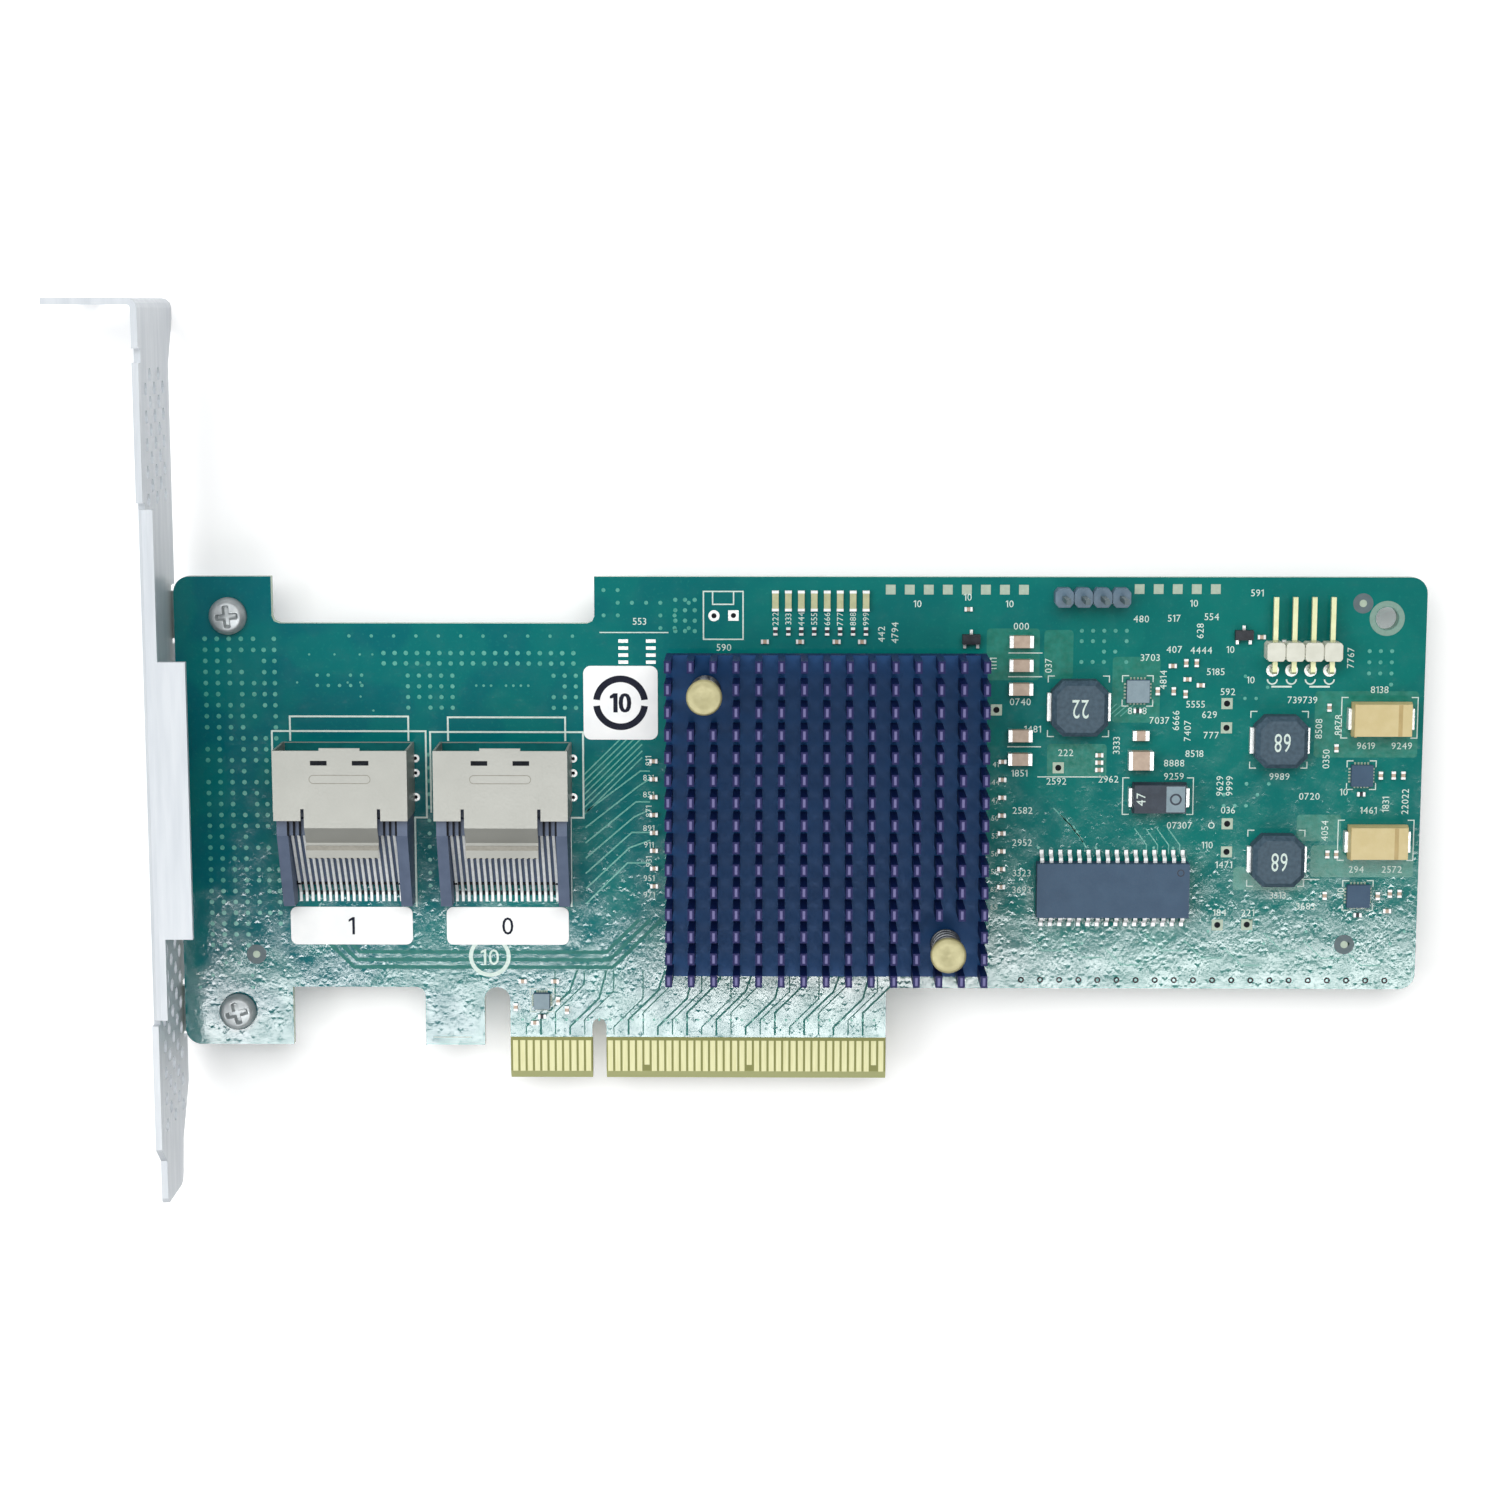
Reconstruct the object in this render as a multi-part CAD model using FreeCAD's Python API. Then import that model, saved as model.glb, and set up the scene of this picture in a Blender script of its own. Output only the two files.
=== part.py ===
import FreeCAD, Part
import math
import os

# A low-profile PCI Express x8 storage controller card carried on a full-height bracket.
# It lies flat with its component face up. X runs along the card away from the bracket, Y from the
# contact edge to the top edge, Z out of the component face. The origin is on the centre line of the
# key notch, at the contact edge, in the component face. Millimetres throughout.

V = FreeCAD.Vector

# ---- bare board -------------------------------------------------------------------------------
BOARD_THICKNESS = 1.57
KEY_TO_LEFT = 56.65           # key notch centre to the bracket end of the board
KEY_TO_RIGHT = 111.0          # key notch centre to the free end of the board
BOARD_TOP = 68.9              # contact edge to top edge
LOWER_EDGE = 12.7             # long lower edge above the contact edge
CORNER_RADIUS = 2.2
INNER_RADIUS = 1.0            # routed inner corners
TOP_NOTCH_START = 13.1        # from the bracket end of the board
TOP_NOTCH_LENGTH = 43.3
TOP_NOTCH_DEPTH = 6.3
FOOT_LENGTH = 14.8            # foot that carries the lower bracket screw
FOOT_BOTTOM = 4.65
HOOK_WIDTH = 8.1              # retention hook beside the contacts
HOOK_BOTTOM = 4.6
SLOT_WIDTH = 3.5              # rounded slot between hook and contacts
ROUND_END_FLAT = 0.02         # flat left between the two round corners at the end of a slot
KEY_WIDTH = 1.9
KEY_TOP = 8.4
BEVEL_HEIGHT = 0.95
BEVEL_DEPTH = 0.45

# ---- edge contacts ----------------------------------------------------------------------------
CONTACT_PITCH = 1.0
CONTACT_WIDTH = 0.7
CONTACT_BOTTOM = 1.0
CONTACT_TOP = 5.3
CONTACT_THICKNESS = 0.05
SHORT_CONTACT_LIFT = 0.9
CONTACTS_BEFORE_KEY = 11
CONTACTS_AFTER_KEY = 38
KEY_TO_FIRST_CONTACT = 1.5
CONTACT_EDGE_MARGIN = 0.65    # outer contact centre to the end of the contact tongue
FRONT_SHORT_CONTACTS = (17, 31, 48)
BACK_SHORT_CONTACTS = (1,)

# ---- full-height bracket ----------------------------------------------------------------------
SHEET = 0.86
BEND_RADIUS = 0.4
BRACKET_GAP = 0.5             # between the board's end and the bracket's inner face
BEND_FLATS = 3                # flats that stand for the round of a bend
BRACKET_ABOVE_SCREW = 42.1    # outside of the top tab above the upper screw
TIP_BELOW_SCREW = 23.62       # end of the tip below the lower screw
BRACKET_WIDTH = 18.42
BRACKET_BELOW_FACE = 3.37     # bracket's lower edge below the component face
TOP_TAB_WIDTH = 21.59
TOP_TAB_LENGTH = 12.3
TOP_SHOULDER = 7.4            # height of the taper from the wide top to the plate's own width
TOP_TAPER_END = 1.5           # where that taper stops, below the top tab
SCREW_NOTCH_WIDTH = 4.42
SCREW_NOTCH_DEPTH = 4.9
SCREW_NOTCH_TO_PLATE = 6.35
LIP_BOTTOM = 11.6
LIP_TOP = 78.8
LIP_LENGTH = 2.1
FLANGE_BOTTOM = 22.5
FLANGE_TOP = 59.1
FLANGE_LENGTH = 5.7
RELIEF = 0.8
ALIGN_NOTCH_FROM_TOP = 8.2
ALIGN_NOTCH_HEIGHT = 1.8
ALIGN_NOTCH_DEPTH = 1.4
TIP_WIDTH = 10.16
TIP_LENGTH = 6.0
TIP_INSET = 2.9               # from the lip side of the plate
TIP_SHOULDER_HIGH = 2.32      # height of the slope from the tip to the plate, on the lip side
TIP_SHOULDER_LOW = 6.96       # and on the board side
TIP_STEP = 0.8                # how far the slope on the board side starts outside the tip
TIP_RADII = (0.8, 1.5)
MOUNT_TAB_HEIGHT = 6.4
MOUNT_TAB_LENGTH = 12.8
MOUNT_TAB_HOLE_RADIUS = 1.5
VENT_RADIUS = 0.95
VENT_SIDES = 6
VENT_PITCH = 3.57             # between neighbours in one column of holes
VENT_COLUMN = 2.65            # between columns, each half a pitch out of step with the next
VENT_SIDE_MARGIN = 3.4
UPPER_VENTS_FROM = (1.0, 8.7)     # outer hole centres above the lip and below the top
LOWER_VENTS_FROM = (10.7, 1.3)    # above the tip and below the flange

# ---- bracket screws ---------------------------------------------------------------------------
SCREW_X_FROM_LEFT = 7.3
SCREW_LOWER_Y = 9.3
SCREW_FROM_TOP = 5.3
SCREW_HEAD_RADIUS = 2.5
SCREW_HEAD_HEIGHT = 1.9
SCREW_HEAD_RIM = 0.65         # height of the head's upright rim
SCREW_HEAD_CROWN_RADIUS = 1.9
SCREW_SHANK_RADIUS = 1.45
SCREW_BELOW_TAB = 0.6
SCREW_CLEARANCE = 0.15
ROUND_SIDES = 12              # flats that stand for the round of a small fastener or its hole
FLAT_CORNER = 1.6             # corners of a smaller radius than this are two flats

# ---- free end mounting hole -------------------------------------------------------------------
END_HOLE_RADIUS = 1.55
END_HOLE_FROM_RIGHT = 5.3
END_HOLE_FROM_TOP = 5.5

# ---- heatsink, its pins and what lies under it -------------------------------------------------
SINK_X = 30.8
SINK_Y = 37.2
FIN_COUNT = 15
FIN_PITCH_X = 2.98
FIN_PITCH_Y = 2.99
FIN_X = 0.9
FIN_Y = 1.6
FIN_HEIGHT = 6.6
SINK_BASE = 2.4
PACKAGE_SIZE = 27.0
BALL_HEIGHT = 0.45
BALL_FIELD_INSET = 0.7        # from the package's edge to the outer row of solder balls
SUBSTRATE = 1.2
LID_SIZE = 21.0
LID_HEIGHT = 0.85
THERMAL_PAD = 0.2
PUSH_PIN_DX = 16.05
PUSH_PIN_DY = 17.1
PUSH_PIN_HEAD_RADIUS = 2.35
PUSH_PIN_HEAD = 1.1
PUSH_PIN_SHANK_RADIUS = 1.2
PUSH_PIN_ABOVE_FINS = 0.4
PUSH_PIN_HOLE_RADIUS = 1.55
PUSH_PIN_BARB_RADIUS = 1.8
PUSH_PIN_BARB = 2.3
FIN_CLEARANCE = 0.35          # between a push pin's head and the nearest fin
SPRING_RADIUS = 1.85          # to the middle of the wire
SPRING_WIRE = 0.42
SPRING_TURNS = 2.5
SPRING_CHORDS = 6             # straight chords in each turn
SPRING_CLEARANCE = 0.02

# ---- cable ports ------------------------------------------------------------------------------
PORT_X = (-33.6, -12.35)      # port 1 and port 0
PORT_FRONT = 46.55
PORT_WIDTH = 17.8
PORT_HEIGHT = 8.4
SHELL_LENGTH = 9.4
SHELL = 0.3
SHELL_LIP_WIDTH = 5.4
SHELL_LIP = 0.35
LATCH_SLOT_X = 2.77
LATCH_SLOT_WIDTH = 2.2
LATCH_SLOT_LENGTH = 0.55
LATCH_SLOT_FROM_FRONT = 1.35
SPRING_TAB_WIDTH = 9.7
SPRING_TAB_REACH = 5.3
SPRING_TAB_DROP = 1.7
SPRING_TAB_KNEE = 0.18        # shares of the tab's reach where it turns down, flattens and hooks
SPRING_TAB_FOOT = 0.6
SPRING_TAB_HOOK = 0.78
SPRING_TAB_RISE = 0.25
SLIT_WIDTH = 0.45
SLIT_LENGTH = 1.6
HOUSING_WIDTH = 17.4
HOUSING_LENGTH = 12.6
HOUSING_CHEEK = 1.5
CHEEK_BELOW_ROOF = 0.7        # cheeks and core below the underside of the shell's roof
CORE_BELOW_ROOF = 1.0
ROOF_CLEARANCE_SHARE = 0.1    # of the spring tab's drop, kept free over the housing
CHEEK_REAR_HEIGHT = 3.0
CORE_REAR_HEIGHT = 0.8
CORE_REAR_SETBACK = 1.2       # from the leads' feet to the core's rear
LEAD_BED = 0.1                # the leads' bed below their underside, and how far their feet run on
CARD_SLOT_WALL = 0.6
NOSE_WIDTH = 15.0
NOSE_LENGTH = 4.9
NOSE_HEIGHT = 4.2
CARD_SLOT_HEIGHT = 1.2
PORT_LEADS = 18
PORT_LEAD_PITCH = 0.8
PORT_LEAD_WIDTH = 0.36
PORT_LEAD = 0.2
PORT_LEAD_TOP_FROM_SHELL = 2.2
PORT_LEAD_TOP_HEIGHT = 6.1
PORT_LEAD_FOOT = 1.5

# ---- labels -----------------------------------------------------------------------------------
LABEL = 0.1
PORT_LABEL_WIDTH = 16.6
PORT_LABEL_HEIGHT = 5.2
PORT_LABEL_GAP = 0.7
DIAL_LABEL_X = 3.2
DIAL_LABEL_Y = 51.9
DIAL_LABEL_SIZE = 10.0
LABEL_CORNER = 0.8

# ---- chips and parts that stand on the board ----------------------------------------------------
MEMORY_X = 69.55
MEMORY_Y = 26.7
MEMORY_LENGTH = 20.5
MEMORY_WIDTH = 7.4
MEMORY_HEIGHT = 2.3
MEMORY_STANDOFF = 0.15
MEMORY_LEADS = 16
MEMORY_LEAD_PITCH = 1.27
MEMORY_LEAD_WIDTH = 0.42
MEMORY_LEAD_SPAN = 10.5
MEMORY_LEAD = 0.25
MEMORY_LEAD_KNEE = 0.45       # from the body's side to the heel of the foot
INDUCTORS = ((64.7, 51.5, 7.5), (91.7, 47.0, 7.0), (91.7, 30.8, 7.0))   # x, y, side
INDUCTOR_HEIGHT = 3.0
TANTALUMS = ((105.1, 50.0), (105.1, 33.3))
TANTALUM_SIZE = (8.0, 4.7, 2.9)
POLYMER = (75.6, 39.3)
POLYMER_SIZE = (7.3, 4.2, 2.8)
TERMINAL_REACH = 0.4          # how far a moulded capacitor's terminals stand past its ends
CERAMIC_COLUMN_X = 56.9
CERAMIC_COLUMN_Y = (60.3, 57.1, 53.9, 47.6, 44.4)
CERAMIC_SIZE = (3.2, 1.6, 1.25)
BULK_CERAMIC = (73.1, 44.3)
BULK_CERAMIC_SIZE = (3.3, 2.5, 1.6)
FILTER_CERAMIC = (73.1, 47.6)
FILTER_CERAMIC_SIZE = (2.2, 1.3, 0.9)
CERAMIC_END = 0.5
REGULATOR_CHIPS = ((102.9, 42.2, 2.9), (102.9, 25.7, 3.1), (72.6, 53.6, 3.1), (-7.8, 10.9, 2.2))
REGULATOR_HEIGHT = 0.85
TRANSISTORS = ((50.2, 60.6), (86.6, 61.2))
TRANSISTOR_SIZE = (2.4, 1.3, 0.95)
TRANSISTOR_LEG = 0.6
LED_COUNT = 8
LED_FIRST_X = 24.0
LED_PITCH = 1.73
LED_FROM_TOP = 3.2
LED_SIZE = (0.85, 2.7, 0.6)

# ---- headers along the top edge --------------------------------------------------------------------
HEADER_PITCH = 2.54
HEADER_PINS = 4
PIN_SIZE = 0.64
LED_HEADER_X = 90.6           # first pin
LED_HEADER_FROM_TOP = 12.5
LED_HEADER_BLOCK = 2.5
LED_HEADER_BLOCK_FROM_TAILS = 1.5
LED_HEADER_TIP = 6.0          # pins past the block
LED_HEADER_AXIS = 1.6         # height of the pins above the board
SERVICE_HEADER_X = 62.4
SERVICE_HEADER_FROM_TOP = 2.6
SERVICE_HEADER_HEIGHT = 2.5
SERVICE_PIN_TOP = 8.2
JOINT_HEIGHT = 1.1            # solder cone over a pin's tail, below the board
JOINT_RADIUS = 0.85
JOINT_TIP_RADIUS = 0.4
JOINT_SIDES = 5

# ---- chip resistors and capacitors --------------------------------------------------------------
CHIP = (1.0, 0.5, 0.45)       # 0402 case
CHIP_COLUMN_X_LEFT = 7.6
CHIP_COLUMN_X_RIGHT = 54.6
CHIP_COLUMN_TOP = 44.0
CHIP_COLUMN_PITCH = 2.45
CHIP_COLUMN_COUNT = 8
LED_RESISTOR_FROM_LED = 4.1
REGULATOR_CHIP_GAP = 1.1
BACK_GRID = 3
BACK_GRID_PITCH = 5.2
BACK_GRID_SIZE = (1.6, 0.8, 0.6)

# ---- worked-out places --------------------------------------------------------------------------
BOARD_LEFT = -KEY_TO_LEFT
BACK_FACE = -BOARD_THICKNESS
TONGUE_LEFT = (-KEY_TO_FIRST_CONTACT - (CONTACTS_BEFORE_KEY - 1) * CONTACT_PITCH
               - CONTACT_EDGE_MARGIN)
TONGUE_RIGHT = (KEY_TO_FIRST_CONTACT + (CONTACTS_AFTER_KEY - 1) * CONTACT_PITCH
                + CONTACT_EDGE_MARGIN)
SCREW_X = BOARD_LEFT + SCREW_X_FROM_LEFT
SCREW_UPPER_Y = BOARD_TOP - SCREW_FROM_TOP
SCREW_PLACES = ((SCREW_X, SCREW_LOWER_Y), (SCREW_X, SCREW_UPPER_Y))
BRACKET_TOP = SCREW_UPPER_Y + BRACKET_ABOVE_SCREW
BRACKET_TIP = SCREW_LOWER_Y - TIP_BELOW_SCREW
PLATE_INNER = BOARD_LEFT - BRACKET_GAP
PLATE_OUTER = PLATE_INNER - SHEET
PLATE_LOW = -BRACKET_BELOW_FACE
PLATE_HIGH = PLATE_LOW + BRACKET_WIDTH
BEND = BEND_RADIUS + SHEET
PACKAGE_TOP = BALL_HEIGHT + SUBSTRATE + LID_HEIGHT
SINK_BOTTOM = PACKAGE_TOP + THERMAL_PAD
FIN_FOOT = SINK_BOTTOM + SINK_BASE
FIN_TIP = FIN_FOOT + FIN_HEIGHT
SINK_SIZE_X = (FIN_COUNT - 1) * FIN_PITCH_X + FIN_X
SINK_SIZE_Y = (FIN_COUNT - 1) * FIN_PITCH_Y + FIN_Y
PUSH_PIN_PLACES = ((SINK_X - PUSH_PIN_DX, SINK_Y + PUSH_PIN_DY),
                   (SINK_X + PUSH_PIN_DX, SINK_Y - PUSH_PIN_DY))
HEAD_UNDERSIDE = FIN_TIP + PUSH_PIN_ABOVE_FINS
SHELL_BACK = PORT_FRONT - SHELL_LENGTH
HOUSING_BACK = SHELL_BACK - HOUSING_LENGTH
LED_Y = BOARD_TOP - LED_FROM_TOP
LED_HEADER_Y = BOARD_TOP - LED_HEADER_FROM_TOP
SERVICE_HEADER_Y = BOARD_TOP - SERVICE_HEADER_FROM_TOP
LED_HEADER_PLACES = [LED_HEADER_X + i * HEADER_PITCH for i in range(HEADER_PINS)]
SERVICE_HEADER_PLACES = [SERVICE_HEADER_X + i * HEADER_PITCH for i in range(HEADER_PINS)]


# ---- shape helpers ------------------------------------------------------------------------------
def box(x0, x1, y0, y1, z0, z1):
    return Part.makeBox(x1 - x0, y1 - y0, z1 - z0, V(x0, y0, z0))


def block(x, y, z, size):
    """A box of the given size, centred on x and y, standing on z."""
    return Part.makeBox(*size, V(x - size[0] / 2, y - size[1] / 2, z))


def rod(x, y, z0, z1, radius):
    return Part.makeCylinder(radius, z1 - z0, V(x, y, z0))


def stacked(rings):
    """A solid with flat faces through rings of points, from bottom to top, all of one count."""
    faces = [Part.Face(Part.makePolygon(ring + ring[:1])) for ring in (rings[0], rings[-1])]
    for low, high in zip(rings, rings[1:]):
        for i in range(len(low)):
            a, b, c, d = low[i - 1], low[i], high[i], high[i - 1]
            if abs((b - a).cross(d - a).dot(c - a)) < 1e-9:
                faces.append(Part.Face(Part.makePolygon([a, b, c, d, a])))
            else:
                faces += [Part.Face(Part.makePolygon([a, b, c, a])),
                          Part.Face(Part.makePolygon([a, c, d, a]))]
    solid = Part.makeSolid(Part.makeShell(faces))
    if solid.Volume < 0:
        solid.reverse()
    return solid


def tapered(x, y, rings, sides=ROUND_SIDES):
    """A round solid through (radius, height) rings from bottom to top, each with that many flats."""
    turns = [2 * math.pi * i / sides for i in range(sides)]
    return stacked([[V(x + radius * math.cos(t), y + radius * math.sin(t), z) for t in turns]
                    for radius, z in rings])


def cut_corners(x, y, width, height, cut):
    """The eight corners of a rectangle whose corners are cut off."""
    u, v = width / 2, height / 2
    quarter = [(u, v - cut), (u - cut, v)]
    half = quarter + [(-b, a) for b, a in reversed(quarter)]
    return [(x + a, y + b, 0) for a, b in half + [(-a, -b) for a, b in half]]


def rounded_face(corners, place=V):
    """A face inside corners (u, v, radius), each rounded by its radius where that isn't 0."""
    count = len(corners)
    arcs, small = [], set()
    for i, (u, v, radius) in enumerate(corners):
        here = V(u, v, 0)
        before = V(*corners[i - 1][:2], 0) - here
        after = V(*corners[(i + 1) % count][:2], 0) - here
        if radius == 0:
            arcs.append((here,))
            continue
        half = before.getAngle(after) / 2
        reach = radius / math.tan(half)
        before.normalize()
        after.normalize()
        middle = before + after
        middle.normalize()
        top = here + middle * (radius / math.sin(half) - radius)
        arcs.append((here + before * reach, top, here + after * reach))
        if radius < FLAT_CORNER:
            small.add(i)
    edges = []
    for i, arc in enumerate(arcs):
        spots = [place(p.x, p.y, 0) for p in arc]
        start = place(arcs[i - 1][-1].x, arcs[i - 1][-1].y, 0)
        if start.distanceToPoint(spots[0]) > 1e-6:
            edges.append(Part.makeLine(start, spots[0]))
        if i in small:
            edges += [Part.makeLine(a, b) for a, b in zip(spots, spots[1:])]
        elif len(spots) == 3:
            edges.append(Part.Arc(*spots).toShape())
    return Part.Face(Part.Wire(edges))


def slab(corners, z0, z1):
    """A plate between two heights with a rounded outline in X and Y."""
    face = rounded_face(corners, lambda u, v, w: V(u, v, z0))
    return face.extrude(V(0, 0, z1 - z0))


def side_profile(points, x0, x1):
    """A solid between two X values with its outline given as (y, z) points."""
    ring = [V(x0, y, z) for y, z in points]
    return Part.Face(Part.makePolygon(ring + ring[:1])).extrude(V(x1 - x0, 0, 0))


def joined(shapes):
    return shapes[0].fuse(shapes[1:]).removeSplitter() if len(shapes) > 1 else shapes[0]


def export(name, shapes):
    shape = shapes[0] if len(shapes) == 1 else Part.makeCompound(shapes)
    shape.exportStep(f"parts/{name}.step")
    volume = sum(s.Volume for s in shape.Solids)
    print(f"{name}: {len(shape.Solids)} solids, {volume:.1f} mm3, valid {shape.isValid()}")


# ---- the board and its contacts -----------------------------------------------------------------
def circuit_board():
    notch_left = BOARD_LEFT + TOP_NOTCH_START
    notch_right = notch_left + TOP_NOTCH_LENGTH
    notch_floor = BOARD_TOP - TOP_NOTCH_DEPTH
    foot_right = BOARD_LEFT + FOOT_LENGTH
    hook_right = TONGUE_LEFT - SLOT_WIDTH
    hook_left = hook_right - HOOK_WIDTH
    slot_radius = (SLOT_WIDTH - ROUND_END_FLAT) / 2
    key_radius = (KEY_WIDTH - ROUND_END_FLAT) / 2
    outline = [
        (BOARD_LEFT, FOOT_BOTTOM, CORNER_RADIUS),
        (foot_right, FOOT_BOTTOM, 0),
        (foot_right, LOWER_EDGE, 0),
        (hook_left, LOWER_EDGE, INNER_RADIUS),
        (hook_left, HOOK_BOTTOM, 0),
        (hook_right, HOOK_BOTTOM, 0),
        (hook_right, LOWER_EDGE, slot_radius),
        (TONGUE_LEFT, LOWER_EDGE, slot_radius),
        (TONGUE_LEFT, 0, 0),
        (-KEY_WIDTH / 2, 0, 0),
        (-KEY_WIDTH / 2, KEY_TOP, key_radius),
        (KEY_WIDTH / 2, KEY_TOP, key_radius),
        (KEY_WIDTH / 2, 0, 0),
        (TONGUE_RIGHT, 0, 0),
        (TONGUE_RIGHT, LOWER_EDGE, 0),
        (KEY_TO_RIGHT, LOWER_EDGE, CORNER_RADIUS),
        (KEY_TO_RIGHT, BOARD_TOP, CORNER_RADIUS),
        (notch_right, BOARD_TOP, 0),
        (notch_right, notch_floor, INNER_RADIUS),
        (notch_left, notch_floor, INNER_RADIUS),
        (notch_left, BOARD_TOP, 0),
        (BOARD_LEFT, BOARD_TOP, CORNER_RADIUS),
    ]
    board = slab(outline, BACK_FACE, 0)
    screw_hole = SCREW_SHANK_RADIUS + SCREW_CLEARANCE
    holes = [tapered(x, y, ((screw_hole, BACK_FACE), (screw_hole, 0))) for x, y in SCREW_PLACES]
    holes += [tapered(x, y, ((PUSH_PIN_HOLE_RADIUS, BACK_FACE), (PUSH_PIN_HOLE_RADIUS, 0)))
              for x, y in PUSH_PIN_PLACES]
    holes.append(rod(*end_hole(), BACK_FACE, 0, END_HOLE_RADIUS))
    for x, y in header_tails():
        holes.append(block(x, y, BACK_FACE, (PIN_SIZE, PIN_SIZE, BOARD_THICKNESS)))
    bevels = [side_profile([(0, z), (BEVEL_HEIGHT, z), (0, z + step)], TONGUE_LEFT, TONGUE_RIGHT)
              for z, step in ((0, -BEVEL_DEPTH), (BACK_FACE, BEVEL_DEPTH))]
    return board.cut(holes + bevels)


def end_hole():
    return KEY_TO_RIGHT - END_HOLE_FROM_RIGHT, BOARD_TOP - END_HOLE_FROM_TOP


def header_tails():
    return ([(x, LED_HEADER_Y) for x in LED_HEADER_PLACES]
            + [(x, SERVICE_HEADER_Y) for x in SERVICE_HEADER_PLACES])


def contact_x(number):
    """Contacts are numbered from the bracket end; the key notch lies between 11 and 12."""
    if number <= CONTACTS_BEFORE_KEY:
        return -KEY_TO_FIRST_CONTACT - (CONTACTS_BEFORE_KEY - number) * CONTACT_PITCH
    return KEY_TO_FIRST_CONTACT + (number - CONTACTS_BEFORE_KEY - 1) * CONTACT_PITCH


def edge_contacts(base, short_ones):
    fingers = []
    for number in range(1, CONTACTS_BEFORE_KEY + CONTACTS_AFTER_KEY + 1):
        x = contact_x(number)
        bottom = CONTACT_BOTTOM + (SHORT_CONTACT_LIFT if number in short_ones else 0)
        fingers.append(box(x - CONTACT_WIDTH / 2, x + CONTACT_WIDTH / 2, bottom, CONTACT_TOP,
                           base, base + CONTACT_THICKNESS))
    return fingers


# ---- the bracket --------------------------------------------------------------------------------
def bent_leg(corner, along, up, axis, leg, length):
    """Sheet that turns through a right angle: a quarter ring and a flat leg.

    corner is where the outer faces of plate and leg would meet, along points down the leg, up out
    of the leg's outer face, and axis along the bend, for the given length.
    """
    def at(a, b):
        return corner + along * a + up * b

    def bend(radius):
        turns = [math.pi / 2 * i / BEND_FLATS for i in range(BEND_FLATS + 1)]
        return [at(BEND - radius * math.cos(t), radius * math.sin(t) - BEND) for t in turns]

    ring = bend(BEND) + [at(leg, 0), at(leg, -SHEET)] + bend(BEND_RADIUS)[::-1]
    return Part.Face(Part.makePolygon(ring + ring[:1])).extrude(axis * length)


def edge_recess(y_from, y_to, edge, depth):
    """Four (y, z) corners of a recess in the plate's edge, in the order of travel."""
    return [(y_from, edge, 0), (y_from, edge + depth, 0), (y_to, edge + depth, 0), (y_to, edge, 0)]


def vent_places():
    """Columns of holes, each half a pitch out of step with the next, clear of edges and bends."""
    low, high = PLATE_LOW + VENT_SIDE_MARGIN, PLATE_HIGH - VENT_SIDE_MARGIN
    columns = int((high - low) / VENT_COLUMN) + 1
    first = (low + high - (columns - 1) * VENT_COLUMN) / 2
    upper = LIP_TOP + UPPER_VENTS_FROM[0], BRACKET_TOP - UPPER_VENTS_FROM[1]
    lower = BRACKET_TIP + LOWER_VENTS_FROM[0], FLANGE_BOTTOM - LOWER_VENTS_FROM[1]
    for bottom, top in (upper, lower):
        for column in range(columns):
            y = bottom + (column % 2) * VENT_PITCH / 2
            while y <= top:
                yield y, first + column * VENT_COLUMN
                y += VENT_PITCH


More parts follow.
